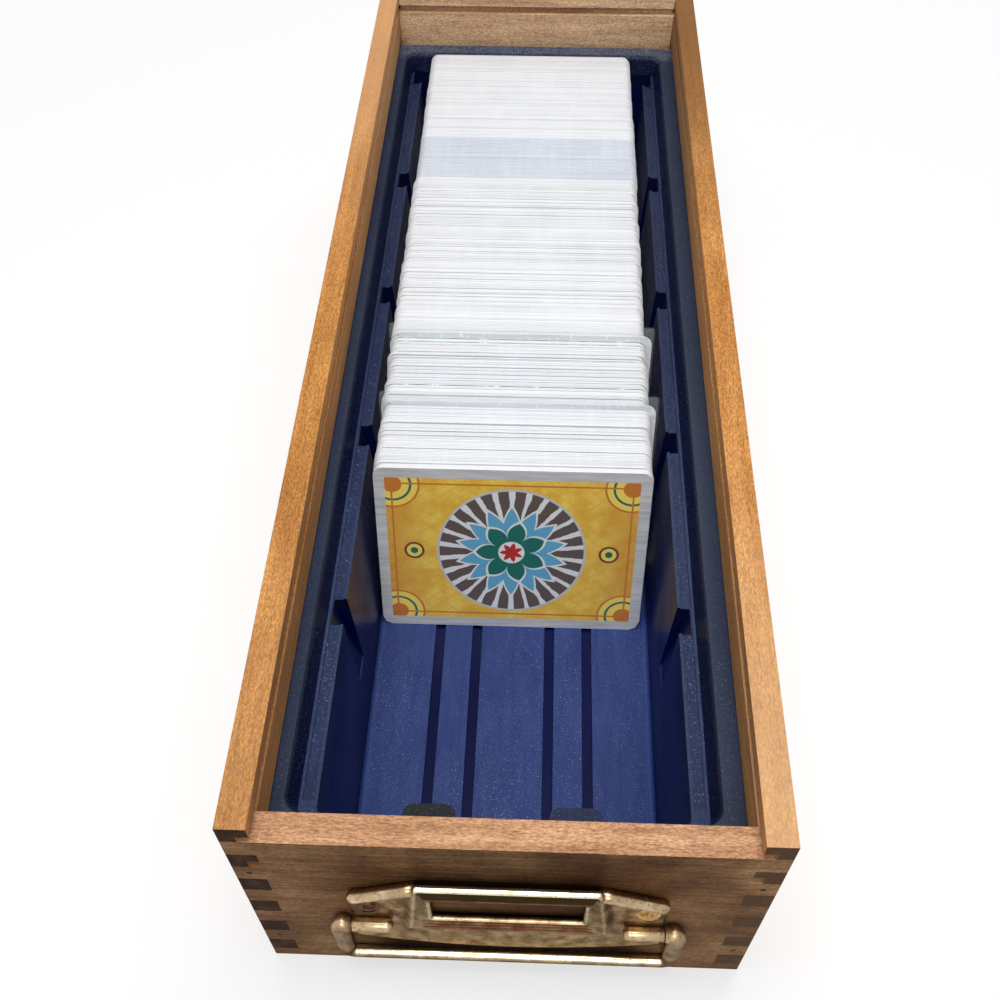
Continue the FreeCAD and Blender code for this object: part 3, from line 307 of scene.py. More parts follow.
def brass(name, seed):
    """Old stamped brass. The mesh says where it is rubbed bright and painted with a highlight, where the red
    lacquer and a painted reflection of the wood lie, and where it is tarnished, with painted shade in places."""
    graph = Finish(name, Specular_IOR_Level=0.0, Specular_Tint=(0.7, 0.66, 0.6))
    normal = graph.facing()
    tarnish_and_shade = graph.mark("tarnish_and_shade")
    stains = graph.noise(240, (seed, seed, 0), detail=6.0, roughness=0.6)
    grime = graph.noise(1100, (0, seed, seed))
    strokes = graph.noise((160, 900, 900), (seed, 0, 0))
    dull = graph.ramp(stains, (0.34, colour(98, 72, 46)), (0.5, colour(150, 122, 88)),
                      (0.66, colour(184, 160, 122)))
    worn = graph.ramp(stains, (0.3, colour(158, 131, 98)), (0.65, colour(206, 180, 142)))
    bright = graph.ramp(strokes, (0.3, colour(210, 194, 152)), (0.6, colour(250, 241, 206)))
    red = graph.ramp(strokes, (0.3, colour(92, 34, 22)), (0.7, colour(150, 78, 56)))
    wear_and_light = graph.math("ADD", graph.mark("rubbed_and_highlight"), graph.times(stains, 0.5))
    tone = graph.mix(graph.band(wear_and_light, 0.4, 0.8), dull, worn)
    tone = graph.mix(graph.band(wear_and_light, 0.95, 1.15), tone, bright)
    tone = graph.mix(graph.times(graph.mark("lacquer_and_reflection"), graph.band(stains, 0.3, 0.6, 0.95, 0.6)), tone, red)
    tone = graph.shade(tone, graph.band(grime, 0.32, 0.46, 0.62, 1.0))
    tone = graph.mix(graph.times(tarnish_and_shade, 0.95), tone, colour(66, 52, 30))

    # painted shade: what faces down or to the right is made darker
    tone = graph.shade(tone, graph.band(normal[2], -0.7, 0.4, 0.42, 1.0))
    tone = graph.shade(tone, graph.band(normal[0], 0.05, 0.6, 1.0, 0.66))
    graph.set("Base Color", tone)
    graph.set("Metallic", graph.band(tarnish_and_shade, 0.0, 0.9, 1.0, 0.0))
    graph.set("Roughness", graph.band(wear_and_light, 0.4, 1.2, 0.44, 0.22))
    graph.bump(graph.noise(500, detail=4.0), 0.15, 0.0002)
    return graph.material


def screws():
    """The left screw is painted dark as painted shade, the right one still brassy."""
    graph = Finish("screw_brass", Metallic=1.0, Roughness=0.38)
    blotches = graph.noise(700)
    left = graph.ramp(blotches, (0.3, colour(48, 32, 22)), (0.7, colour(112, 78, 56)))
    right = graph.ramp(blotches, (0.3, colour(120, 88, 46)), (0.7, colour(216, 178, 110)))
    side = graph.axes(graph.place())[0]
    graph.set("Base Color", graph.mix(graph.band(side, -0.005, 0.005), left, right))
    return graph.material


def dark_steel():
    graph = Finish("brad_steel", Metallic=0.5, Roughness=0.6, Specular_IOR_Level=0.1)
    graph.set("Base Color", graph.ramp(graph.noise(1200), (0.3, colour(10, 7, 5)), (0.7, colour(40, 31, 25))))
    return graph.material


def film():
    """The thin clear plastic of a card sleeve, seen best along its edges."""
    graph = Finish("sleeve_film", Roughness=0.12, IOR=1.45)
    creases = graph.noise((40, 40, 300), detail=2.0, distortion=1.0)
    graph.set("Base Color", graph.ramp(creases, (0.3, colour(206, 212, 220)), (0.7, colour(236, 240, 246))))
    edge = graph.add("LayerWeight", {"Blend": 0.25}).outputs["Facing"]
    graph.set("Alpha", graph.band(edge, 0.3, 1.0, 0.05, 0.5))
    graph.bump(creases, 0.15, 0.0003)
    return graph.material


def card_stock():
    """The cut edges of coated card. Each card carries its own tone and tint, and may be foiled. A low tone is
    painted shade in a gap.
    """
    graph = Finish("card_stock", Roughness=0.5)
    paper = graph.ramp(graph.mark("tone"), (0.0, colour(88, 92, 98)), (0.25, colour(186, 190, 195)),
                       (0.55, colour(232, 234, 237)), (1.0, colour(249, 250, 252)))
    cool = graph.mix(graph.mark("tint"), paper, colour(224, 231, 242), "MULTIPLY")
    dust = graph.noise((420, 40, 40))
    dusted = graph.mix(graph.band(dust, 0.45, 0.8, 0.0, 0.25), cool, colour(252, 252, 255))
    sparkle = graph.noise((190, 12, 12), detail=2.0)
    glints = graph.ramp(sparkle, (0.5, colour(70, 78, 76)), (0.6, colour(120, 196, 140)),
                        (0.64, colour(250, 255, 250)), (0.7, colour(226, 96, 86)))
    graph.set("Base Color", graph.mix(graph.mark("foil"), dusted, glints))
    return graph.material


def silver_card():
    """The sleeved cards, of which only a sliver of silver border shows."""
    graph = Finish("sleeved_silver", Roughness=0.4)
    brushed = graph.noise((30, 30, 700))
    silver = graph.ramp(brushed, (0.3, colour(208, 211, 215)), (0.6, colour(230, 232, 236)))
    glitter = graph.noise((1300, 300, 300), detail=2.0)
    graph.set("Base Color", graph.mix(graph.band(glitter, 0.6, 0.68), silver, colour(248, 252, 253)))
    return graph.material


# a card's face in millimetres, lying on its long side
FACE_LONG, FACE_SHORT = 88.0, 63.0


def card_print(name, field, field_edge, ground, burst, petal, spark):
    """A made-up card face: a silver border, a mottled field and a sunburst rosette in plain shapes."""
    graph = Finish(name, Roughness=0.3, Coat_Weight=0.4, Coat_Roughness=0.15)
    u, v, _ = graph.axes(graph.add("UVMap", uv_map="face").outputs[0])
    across = graph.times(graph.math("SUBTRACT", u, 0.5), FACE_LONG)
    rise = graph.times(graph.math("SUBTRACT", v, 0.5), FACE_SHORT)
    aside = graph.math("ABSOLUTE", across)
    above = graph.math("ABSOLUTE", rise)
    silver, white = colour(204, 206, 210), colour(236, 239, 241)

    def within(value, limit, soft=0.14):
        return graph.band(value, limit - soft, limit, 1.0, 0.0)

    def reach(x, y):
        """The distance from a point and from its mirror images in the face's two middle lines."""
        return graph.distance(graph.math("SUBTRACT", aside, x), graph.math("SUBTRACT", above, y))

    def panel(half_width, half_height):
        return graph.times(within(aside, half_width), within(above, half_height))

    turn = graph.math("ARCTAN2", rise, across)
    middle = reach(0.0, 0.0)

    def rays(count):
        """Runs from 0 to 1 and back, count times round the middle."""
        return graph.times(graph.math("PINGPONG", turn, math.pi / count), count / math.pi)

    def disc(limit, points=0.0, shape=0.0):
        """1 inside a circle, or inside a star whose rays stand points further out."""
        return within(graph.math("SUBTRACT", middle, graph.times(shape, points)), limit)

    brushed = graph.noise((60, 60, 900), detail=2.0)
    face = graph.ramp(brushed, (0.3, colour(186, 188, 191)), (0.7, colour(218, 219, 222)))
    mottle = graph.noise(170, detail=5.0, roughness=0.6)
    area = graph.mix(graph.band(mottle, 0.3, 0.7), field, field_edge)
    area = graph.mix(graph.band(aside, 22.0, 42.0, 0.0, 0.6), area, spark)

    # a trellis of fine lines over the field, quarter rings in its corners, a frame and two side knots
    for slope in (1.4, -1.4):
        lane = graph.math("ADD", across, graph.times(rise, slope))
        area = graph.mix(within(graph.math("PINGPONG", lane, 3.3), 0.28, 0.2), area, field_edge)
    corner = reach(38.2, 25.6)
    for radius, tone in ((9.0, spark), (8.3, field), (6.4, petal), (5.6, field), (3.2, spark)):
        area = graph.mix(within(corner, radius), area, tone)
    face = graph.mix(panel(40.6, 28.0), face, area)
    face = graph.mix(graph.math("SUBTRACT", panel(38.8, 26.2), panel(38.2, 25.6)), face, spark)
    knot = reach(32.0, 0.0)
    for radius, tone in ((3.4, colour(112, 74, 58)), (2.6, field), (1.3, petal)):
        face = graph.mix(within(knot, radius), face, tone)

    # the rosette: pale streaks on a dark ring, a burst, petals and a heart
    streaks = graph.math("ADD", rays(26), graph.times(mottle, 0.7))
    ring = graph.mix(graph.band(streaks, 0.98, 1.06), ground, white)
    burst_rays, petals = rays(14), graph.math("SQRT", rays(7))
    for shape, tone in ((disc(24.6), silver), (disc(23.8), ring),
                        (disc(12.6, 6.4, burst_rays), white), (disc(11.6, 6.0, burst_rays), burst),
                        (disc(6.2, 6.6, petals), white), (disc(5.4, 6.4, petals), petal),
                        (disc(4.4), white), (disc(2.0, 2.0, rays(7)), colour(196, 54, 46))):
        face = graph.mix(shape, face, tone)
    graph.set("Base Color", face)
    return graph.material


def paint(name, material):
    node = NODES[name]
    node.data.materials.clear()
    node.data.materials.append(material)


HONEY = (colour(212, 154, 88), colour(194, 135, 74), colour(160, 104, 52))
AMBER = (colour(224, 166, 100), colour(208, 148, 84), colour(180, 120, 64))
ROSE = (colour(222, 174, 136), colour(202, 154, 116), colour(160, 114, 82))
SAND = (colour(238, 202, 164), colour(224, 186, 148), colour(192, 152, 116))
UNDER = (colour(200, 160, 120), colour(180, 140, 100), colour(146, 106, 72))
paint("left_side", wood("beech_left", ALONG, HONEY, 1, rear=colour(206, 160, 118), rear_share=0.6, paled=0.14))
paint("right_side", wood("beech_right", ALONG, AMBER, 5, rear=colour(116, 80, 50), rear_share=0.85, paled=0.5,
                         dry=0.3))
paint("front_panel", wood("beech_front", ACROSS, ROSE, 3))
paint("back_panel", wood("beech_back", ACROSS, SAND, 7))
paint("bottom_panel", wood("beech_bottom", ALONG, UNDER, 9))
paint("corner_brads", dark_steel())
paint("card_tray", tray_plastic())
paint("pull_screws", screws())
CLEAR_FILM = film()
STOCK = card_stock()
for sleeve in ("card_sleeve_front", "card_sleeve_rear"):
    paint(sleeve, CLEAR_FILM)
for sleeved in ("sleeved_card_front", "sleeved_card_rear"):
    paint(sleeved, silver_card())

YELLOW_FACE = card_print("card_face_yellow", field=colour(252, 222, 104), field_edge=colour(236, 184, 66),
                         ground=colour(104, 92, 86), burst=colour(104, 178, 214),
                         petal=colour(40, 116, 104), spark=colour(208, 128, 58))
BLUE_FACE = card_print("card_face_blue", field=colour(190, 210, 228), field_edge=colour(160, 188, 214),
                       ground=colour(88, 96, 120), burst=colour(206, 216, 226),
                       petal=colour(120, 140, 176), spark=colour(140, 160, 190))


# ---------------------------------------------------------------- cards

CARD_THICKNESS = 0.305 * MM
CARD_CORNER = 3.2 * MM
SAME_LEVEL = 1e-5
rng = random.Random(11)


def add_piece(name, work, materials, body, node):
    """Makes the piece that takes the place of a CAD node and rides its body."""
    mesh = bpy.data.meshes.new(name)
    work.to_mesh(mesh)
    work.free()
    for material in materials:
        mesh.materials.append(material)
    piece = bpy.data.objects.new(name, mesh)
    bpy.context.scene.collection.objects.link(piece)
    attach(piece, body)
    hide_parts(node)


def lean_of(name):
    """Where a leaning block stands, read from its CAD solid: its floor line, lean and size."""
    points = [vertex.co for vertex in NODES[name].data.vertices]
    low = min(point.z for point in points)
    high = max(point.z for point in points)
    foot = [point.y for point in points if point.z - low < SAME_LEVEL]
    head = [point.y for point in points if high - point.z < SAME_LEVEL]
    left = min(point.x for point in points)
    return {
        "width": max(point.x for point in points) - left,
        "foot": Vector((left, min(foot), low)),
        "run": max(foot) - min(foot),
        "lean": math.atan2(min(head) - min(foot), high - low),
        "height": math.hypot(min(head) - min(foot), high - low),
    }


def outline(width, height, radius):
    """A rounded card outline, with fewer points at its hidden foot than at its head."""
    points = []
    for x, y, start, steps in ((width - radius, radius, 270, 2), (width - radius, height - radius, 0, 5),
                               (radius, height - radius, 90, 5), (radius, radius, 180, 2)):
        for step in range(steps + 1):
            turn = math.radians(start + 90 * step / steps)
            points.append((x + radius * math.cos(turn), y + radius * math.sin(turn)))
    return points


class Pile:
    """A mesh of cards that stand one behind another."""

    def __init__(self, name, face):
        self.mesh = bmesh.new()
        self.name = name
        self.face = face
        self.uv = self.mesh.loops.layers.uv.new("face")
        self.marks = {mark: self.mesh.faces.layers.float.new(mark) for mark in ("tone", "tint", "foil")}

    def card(self, foot, lean, width, height, thickness, **marks):
        """One card whose lower left front corner is at foot."""
        up = Vector((0, math.sin(lean), math.cos(lean)))
        right = Vector((1, 0, 0))
        away = Vector((0, thickness / math.cos(lean), 0))
        flat = outline(width, height, CARD_CORNER)
        front, back = ([self.mesh.verts.new(foot + right * x + up * y + away * depth) for x, y in flat]
                       for depth in (0, 1))
        count = len(flat)
        made = [(self.mesh.faces.new(front), 1), (self.mesh.faces.new(list(reversed(back))), 1)]
        for face, _ in made:
            for loop in face.loops:
                index = (front if loop.vert in front else back).index(loop.vert)
                loop[self.uv].uv = (flat[index][0] / width, flat[index][1] / height)
        for step in range(count):
            after = (step + 1) % count
            edge = self.mesh.faces.new((front[step], back[step], back[after], front[after]))
            edge.smooth = True
            made.append((edge, 0))
        for face, slot in made:
            face.material_index = slot
            for mark, layer in self.marks.items():
                face[layer] = marks.get(mark, 0.0)

    def finish(self, body, node):
        add_piece(self.name, self.mesh, (STOCK, self.face), body, node)


# how far a bundle and a card in it may stand low or aside, and how low the last card before a gap does
BUNDLE_DROP, BUNDLE_SLIP = 0.4, 0.5
CARD_DROP, CARD_SLIP = 0.16, 0.12
GAP_DROP = 1.4
PLAIN_TINT = 0.1
CARD_FILL = 0.97


def bundle_lengths(count, shortest, longest):
    """Breaks a packet into bundles of cards that were put in together."""
    lengths = []
    while sum(lengths) < count:
        lengths.append(rng.randint(shortest, longest))
    return lengths


# how each packet was put in: bundle lengths, how ragged it is, how much it is tinted and up to which
# share of its length, and how often a foiled card closes a bundle
HABITS = {
    "card_packet_1": dict(bundles=(3, 8), ragged=0.75, tint=0.1),
    "card_packet_2": dict(bundles=(2, 7), ragged=0.9, tint=0.3, foil=0.01),
    "card_packet_3": dict(bundles=(2, 6), ragged=1.0, tint=0.3, foil=0.12),
    "card_packet_4": dict(bundles=(3, 8), ragged=0.55, tint=0.12),
    "card_packet_5": dict(bundles=(3, 9), ragged=0.6, tint=0.12),
    "card_packet_6": dict(bundles=(5, 16), ragged=0.18, tint=1.0, tinted=0.62),
    "card_packet_7": dict(bundles=(5, 16), ragged=0.2, tint=0.1),
}
ROW = list(HABITS)


def packet(name, bundles, ragged, tint, tinted=1.0, foil=0.0):
    block = lean_of(name)
    after = ROW.index(name) + 1
    spread = lean_of(ROW[after])["lean"] - block["lean"] if after < len(ROW) else 0.0
    count = round(block["run"] * math.cos(block["lean"]) / CARD_THICKNESS)
    pitch = block["run"] / count
    pile = Pile(name + "_cards", BLUE_FACE)
    placed = 0
    for length in bundle_lengths(count, *bundles):
        drop = rng.uniform(0.0, BUNDLE_DROP) * ragged * MM
        slip = rng.uniform(-BUNDLE_SLIP, BUNDLE_SLIP) * ragged * MM
        sparkling = rng.random() < foil * length
        gap = rng.random() ** 2.5
        for step in range(length):
            if placed >= count:
                break
            last = step == length - 1
            sink = drop + rng.uniform(0.0, CARD_DROP) * MM + (gap * GAP_DROP * ragged * MM if last else 0.0)
            side = slip + rng.uniform(-CARD_SLIP, CARD_SLIP) * MM
            # painted shade: the last card before a gap is given a darker tone
            tone = rng.uniform(0.5, 1.0) - (0.5 * gap * ragged + 0.1 if last else 0.0)
            share = placed / count
            foot = block["foot"] + Vector((side, placed * pitch, 0))
            pile.card(foot, block["lean"] + spread * share, block["width"], block["height"] - sink,
                      CARD_THICKNESS * CARD_FILL, tone=tone, tint=tint if share < tinted else PLAIN_TINT,
                      foil=1.0 if sparkling and last else 0.0)
            placed += 1
    pile.finish(name + "_body", name)


for packet_name, habit in HABITS.items():
    packet(packet_name, **habit)

front = lean_of("front_card")
single = Pile("front_card_print", YELLOW_FACE)
single.card(front["foot"], front["lean"], front["width"], front["height"], CARD_THICKNESS, tone=0.8)
single.finish("front_card_body", "front_card")


# ---------------------------------------------------------------- the pull

# The stamped plate is one sheet of brass, drawn as its height off the wood, in millimetres from the
# middle of the bail's axis: u to the right and w upwards. The bail is drawn in the same millimetres.
PULL_X, PULL_Y, PULL_Z = 0.8, -199.0, 35.3
SHEET = 0.9
BEAD_TUBE = 1.9
PLATE_LEVEL = 1.0
SIDE_LOW, SIDE_HIGH = (42.5, -13.0), (41.0, 18.5)
CENTRE_DROP = 20.0
CROWN = (23.5, 25.2)
RIM_TOP, RIM_LOW = 28.2, -1.5
RIM_HALF = (26.1, 23.2)
RIM_STAND = (2.8, 4.2)
RIM_FLAT, RIM_SKIRT, RIM_ROLL = 0.6, 2.6, 1.1
WINDOW_HALF, WINDOW_LOW, WINDOW_TOP = 19.9, 4.3, 16.7
WINDOW_LIP, WINDOW_ROLL, LIP_STAND = 1.65, 0.6, 2.3
FINE_LINES = (2.7, 1.3, -0.1)
BEAD = 1.4
EAR_IN, EAR_OUT, EAR_RADIUS, EAR_BORE, EAR_STAND = 30.9, 41.7, 2.05, 1.25, 2.7
EAR_SIDES, ROD_SIDES = 28, 24
BAIL_HALF, BAIL_DROP, BAIL_BEND, BAIL_CORNER = 45.5, 24.0, 3.6, 2.5
BAIL_PIN, PIN_START, PIN_END = 1.18, EAR_IN + 2.4, EAR_OUT + 0.2
PIN_RUBBED = 0.3
# the bail hangs against the wood, so its bar stands this much closer to it than its pins do
BAIL_SETTLE = 0.75


def clamp(value):
    return min(1.0, max(0.0, value))


def smooth(value, low, high):
    share = clamp((value - low) / (high - low))
    return share * share * (3 - 2 * share)


def fade(value, low, high):
    return 1 - smooth(value, low, high)


def turns(count):
    """The angles of so many points round a ring."""
    return [2 * math.pi * step / count for step in range(count)]


def bulge(distance, radius):
    """The height of a round bar's surface over its axis, 0 beyond its side."""
    return math.sqrt(max(0.0, radius * radius - distance * distance))


def distance_off(point, start, end):
    """The distance of a point from a segment."""
    span = (end[0] - start[0], end[1] - start[1])
    length = math.hypot(*span)
    share = clamp(((point[0] - start[0]) * span[0] + (point[1] - start[1]) * span[1]) / length ** 2)
    return math.hypot(point[0] - start[0] - share * span[0], point[1] - start[1] - share * span[1])


BEAD_START = (CROWN[0] + 0.6, CROWN[1] - BEAD)
BEAD_END = (SIDE_HIGH[0] - BEAD, SIDE_HIGH[1] - BEAD + 0.3)


def side_edge(w):
    return SIDE_LOW[0] + (SIDE_HIGH[0] - SIDE_LOW[0]) * (w - SIDE_LOW[1]) / (SIDE_HIGH[1] - SIDE_LOW[1])


def low_edge(u):
    sagitta = CENTRE_DROP + SIDE_LOW[1]
    radius = (SIDE_LOW[0] ** 2 + sagitta ** 2) / (2 * sagitta)
    return -CENTRE_DROP + radius - math.sqrt(radius * radius - u * u)


def top_edge(u):
    aside = abs(u)
    wing = CROWN[1] - (aside - CROWN[0]) * (CROWN[1] - SIDE_HIGH[1]) / (SIDE_HIGH[0] - CROWN[0])
    return wing + (RIM_TOP - wing) * fade(aside, RIM_HALF[1], RIM_HALF[1] + 0.9)


def stamped_height(u, w):
    """The front surface's height off the wood, and its marks there: rubbed with a painted highlight, lacquer
    with a painted reflection, tarnish with painted shade.
    """
    aside = abs(u)
    rise = (w - RIM_LOW) / (RIM_TOP - RIM_LOW)
    rim_half = RIM_HALF[0] + (RIM_HALF[1] - RIM_HALF[0]) * rise
    stand = RIM_STAND[0] + (RIM_STAND[1] - RIM_STAND[0]) * clamp(rise)
    right, below = aside - rim_half, RIM_LOW - w
    outside = math.hypot(max(right, 0.0), max(below, 0.0)) if max(right, below) > 0 else max(right, below)
    lacquer_and_reflection, tarnish_and_shade = 0.0, 0.0

    if outside > 0:
        height = PLATE_LEVEL + (stand - PLATE_LEVEL) * fade(outside, 0.0, RIM_SKIRT)
        rubbed_and_highlight = 0.2
        if aside > rim_half:
            off = distance_off((aside, w), BEAD_START, BEAD_END)
            round_bar = BEAD + bulge(off, BEAD)
            skirt = PLATE_LEVEL + (BEAD - PLATE_LEVEL) * fade(off, BEAD, BEAD + 1.2)
            height = max(height, round_bar if off < BEAD else skirt)
            rubbed_and_highlight = max(rubbed_and_highlight, 0.62 * fade(off, 0.2, 1.2))
        if w < SIDE_HIGH[1] - 2 * BEAD:
            edge = min(w - low_edge(u), side_edge(w) - aside)
            height -= 0.5 * fade(edge, 0.0, 0.7)
            rubbed_and_highlight = max(rubbed_and_highlight, 0.35 * fade(edge, 0.2, 1.0))
        rubbed_and_highlight = max(rubbed_and_highlight, 0.5 * fade(outside, 0.0, 0.5))
        tarnish_and_shade = 0.35 * smooth(outside, 0.5, 2.2) * fade(outside, 2.2, 4.5)
        return height, rubbed_and_highlight, lacquer_and_reflection, tarnish_and_shade

    # inside the rim the picture-frame bevel runs down to a flat lip round the window
    runs = ((-right - RIM_FLAT) / (rim_half - RIM_FLAT - WINDOW_HALF - WINDOW_LIP),
            (w - RIM_LOW - RIM_FLAT) / (WINDOW_LOW - WINDOW_LIP - RIM_LOW - RIM_FLAT),
            (RIM_TOP - RIM_FLAT - w) / (RIM_TOP - RIM_FLAT - WINDOW_TOP - WINDOW_LIP))
    bevel = clamp(min(runs))
    top_bar = runs[2] == min(runs)
    height = stand + (LIP_STAND - stand) * (bevel ** 0.8 if top_bar else bevel)
    hole = max(aside - WINDOW_HALF, WINDOW_LOW - w, w - WINDOW_TOP)
    rolled = max(0.0, WINDOW_ROLL - hole)
    height -= 0.7 * (1 - math.sqrt(max(0.0, 1 - (rolled / WINDOW_ROLL) ** 2)))

    # the top bar's edge is rolled back, and fine lines run along the bottom bar
    over_top = RIM_TOP - w
    height -= max(0.0, RIM_ROLL - bulge(max(0.0, RIM_ROLL - over_top), RIM_ROLL)) * 0.9
    if w < WINDOW_LOW and aside < WINDOW_HALF + WINDOW_LIP:
        for line in FINE_LINES:
            height -= 0.22 * fade(abs(w - line), 0.05, 0.4)

    # it is rubbed bright along the top bar, on the window's lips and along the sides' creases, and painted
    # with a highlight there
    under = WINDOW_LOW - w
    low_lip = side_lip = 0.0
    if under > 0 and aside < WINDOW_HALF + 0.6:
        low_lip = smooth(under, 0.12, 0.4) * fade(under, 0.5, 0.85)
    if WINDOW_LOW < w < WINDOW_TOP:
        side_lip = 0.8 * fade(aside - WINDOW_HALF, 0.9, 1.4)
    rubbed_and_highlight = max(0.15 + 0.85 * fade(over_top, 0.75, 1.2), 0.95 * low_lip, side_lip,
                 0.75 * fade(-right, 0.35, 0.8))

    # lacquer and a painted reflection of the wood lie above and below the window, tarnish where nothing rubs,
    # and painted shade on the top bar's bevel
    if aside < rim_half - 2.0 and (w > WINDOW_TOP or under > 0):
        lacquer_and_reflection = 0.9 if under > 0 else fade(w, WINDOW_TOP + 1.2, WINDOW_TOP + 3.4)
        lacquer_and_reflection *= (1 - low_lip) * fade(aside, WINDOW_HALF + 0.4, WINDOW_HALF + 2.4)
    if top_bar:
        tarnish_and_shade = smooth(over_top, 0.95, 1.5) * smooth(w, WINDOW_TOP + 0.9, WINDOW_TOP + 1.7)
    elif runs[0] == min(runs):
        tarnish_and_shade = 0.35 if u > 0 else 0.05
    if 0 < under < 0.3:
        tarnish_and_shade = fade(under, 0.15, 0.3)
    if under > 0.6 and aside < WINDOW_HALF + 2.5:
        tarnish_and_shade = max(tarnish_and_shade, *(0.8 * fade(abs(w - line), 0.1, 0.5) for line in FINE_LINES))
    return height, rubbed_and_highlight, lacquer_and_reflection, tarnish_and_shade


def ruled(marks, step):
    """Rising values that hit every mark, at most a step apart."""
    values = []
    for start, end in zip(marks, marks[1:]):
        parts = max(1, math.ceil((end - start) / step - 1e-6))
        values += [start + (end - start) * part / parts for part in range(parts)]
    return values + [marks[-1]]


class Brass:
    """A mesh in the pull's own millimetres, with its wear and painted light at each point."""

    def __init__(self):
        self.mesh = bmesh.new()
        self.wear_and_light = [self.mesh.verts.layers.float.new(name) for name in ("rubbed_and_highlight", "lacquer_and_reflection", "tarnish_and_shade")]

    def point(self, u, height, w, *wear_and_light):
        vertex = self.mesh.verts.new(((PULL_X + u) * MM, (PULL_Y - height) * MM, (PULL_Z + w) * MM))
        for layer, value in zip(self.wear_and_light, wear_and_light):
            vertex[layer] = value
        return vertex

    def skin(self, rings, closed=True):
        """Faces between rings of points that follow one another."""
        for one, other in zip(rings, rings[1:]):
            count = len(one)
            for step in range(count if closed else count - 1):
                after = (step + 1) % count
                self.mesh.faces.new((one[step], one[after], other[after], other[step])).smooth = True

    def cap(self, ring, centre):
        for step in range(len(ring)):
            self.mesh.faces.new((ring[step], ring[(step + 1) % len(ring)], centre)).smooth = True

    def finish(self, name, body, node, slot, material):
        bmesh.ops.recalc_face_normals(self.mesh, faces=self.mesh.faces)
        add_piece(name, self.mesh, (material,), body, node)


def add_ear(work, hand):
    """A rolled ear: a tube with a closed, rounded inner end."""
    tip, bore_end = EAR_IN - 0.3, EAR_IN + 1.6
    profile = [(tip + 1.7 * (1 - math.cos(turn)), EAR_RADIUS * math.sin(turn))
               for turn in (math.radians(9 * step) for step in range(1, 11))]
    profile += [(EAR_IN + 3.0, EAR_RADIUS), (EAR_OUT - 0.25, EAR_RADIUS), (EAR_OUT, EAR_RADIUS - 0.2),
                (EAR_OUT, EAR_BORE), (bore_end, EAR_BORE)]
    rings = [[work.point(hand * place, EAR_STAND + radius * math.sin(turn), radius * math.cos(turn),
                         0.62 if radius > EAR_BORE else 0.0) for turn in turns(EAR_SIDES)]
             for place, radius in profile]
    work.skin(rings)
    work.cap(rings[0], work.point(hand * tip, EAR_STAND, 0.0, 0.3))
    work.cap(rings[-1], work.point(hand * bore_end, EAR_STAND, 0.0))


def add_bead(work, hand):
    """The rolled bead along the top of a wing, a little dented."""
    run = Vector((BEAD_END[0] - BEAD_START[0], BEAD_END[1] - BEAD_START[1]))
    length, heading = run.length, run.normalized()
    start = Vector(BEAD_START) + Vector((0, 0.7))
    first, last, stand = -1.2, length - 0.3, BEAD_TUBE + 0.1
    profile = [(first, BEAD_TUBE)] + [(length * share, BEAD_TUBE) for share in (0.1, 0.3, 0.5, 0.7, 0.85)]
    profile += [(last + BEAD_TUBE * math.sin(turn), BEAD_TUBE * math.cos(turn))
                for turn in (math.radians(9 * step) for step in range(10))]
    rings = []
    for place, radius in profile:
        centre = start + heading * place
        dent = 0.06 * math.sin(2.1 * place + hand) + 0.04 * math.sin(5.3 * place) if radius > 1.0 else 0.0
        ring = []
        for turn in turns(ROD_SIDES):
            side = (radius + dent) * math.cos(turn)
            ring.append(work.point(hand * (centre.x - heading.y * side), stand + radius * math.sin(turn),
                                   centre.y + heading.x * side, 0.7))
        rings.append(ring)
    work.skin(rings)
    for ring, place in ((rings[0], first), (rings[-1], last + BEAD_TUBE)):
        centre = start + heading * place
        work.cap(ring, work.point(hand * centre.x, stand, centre.y, 0.42))


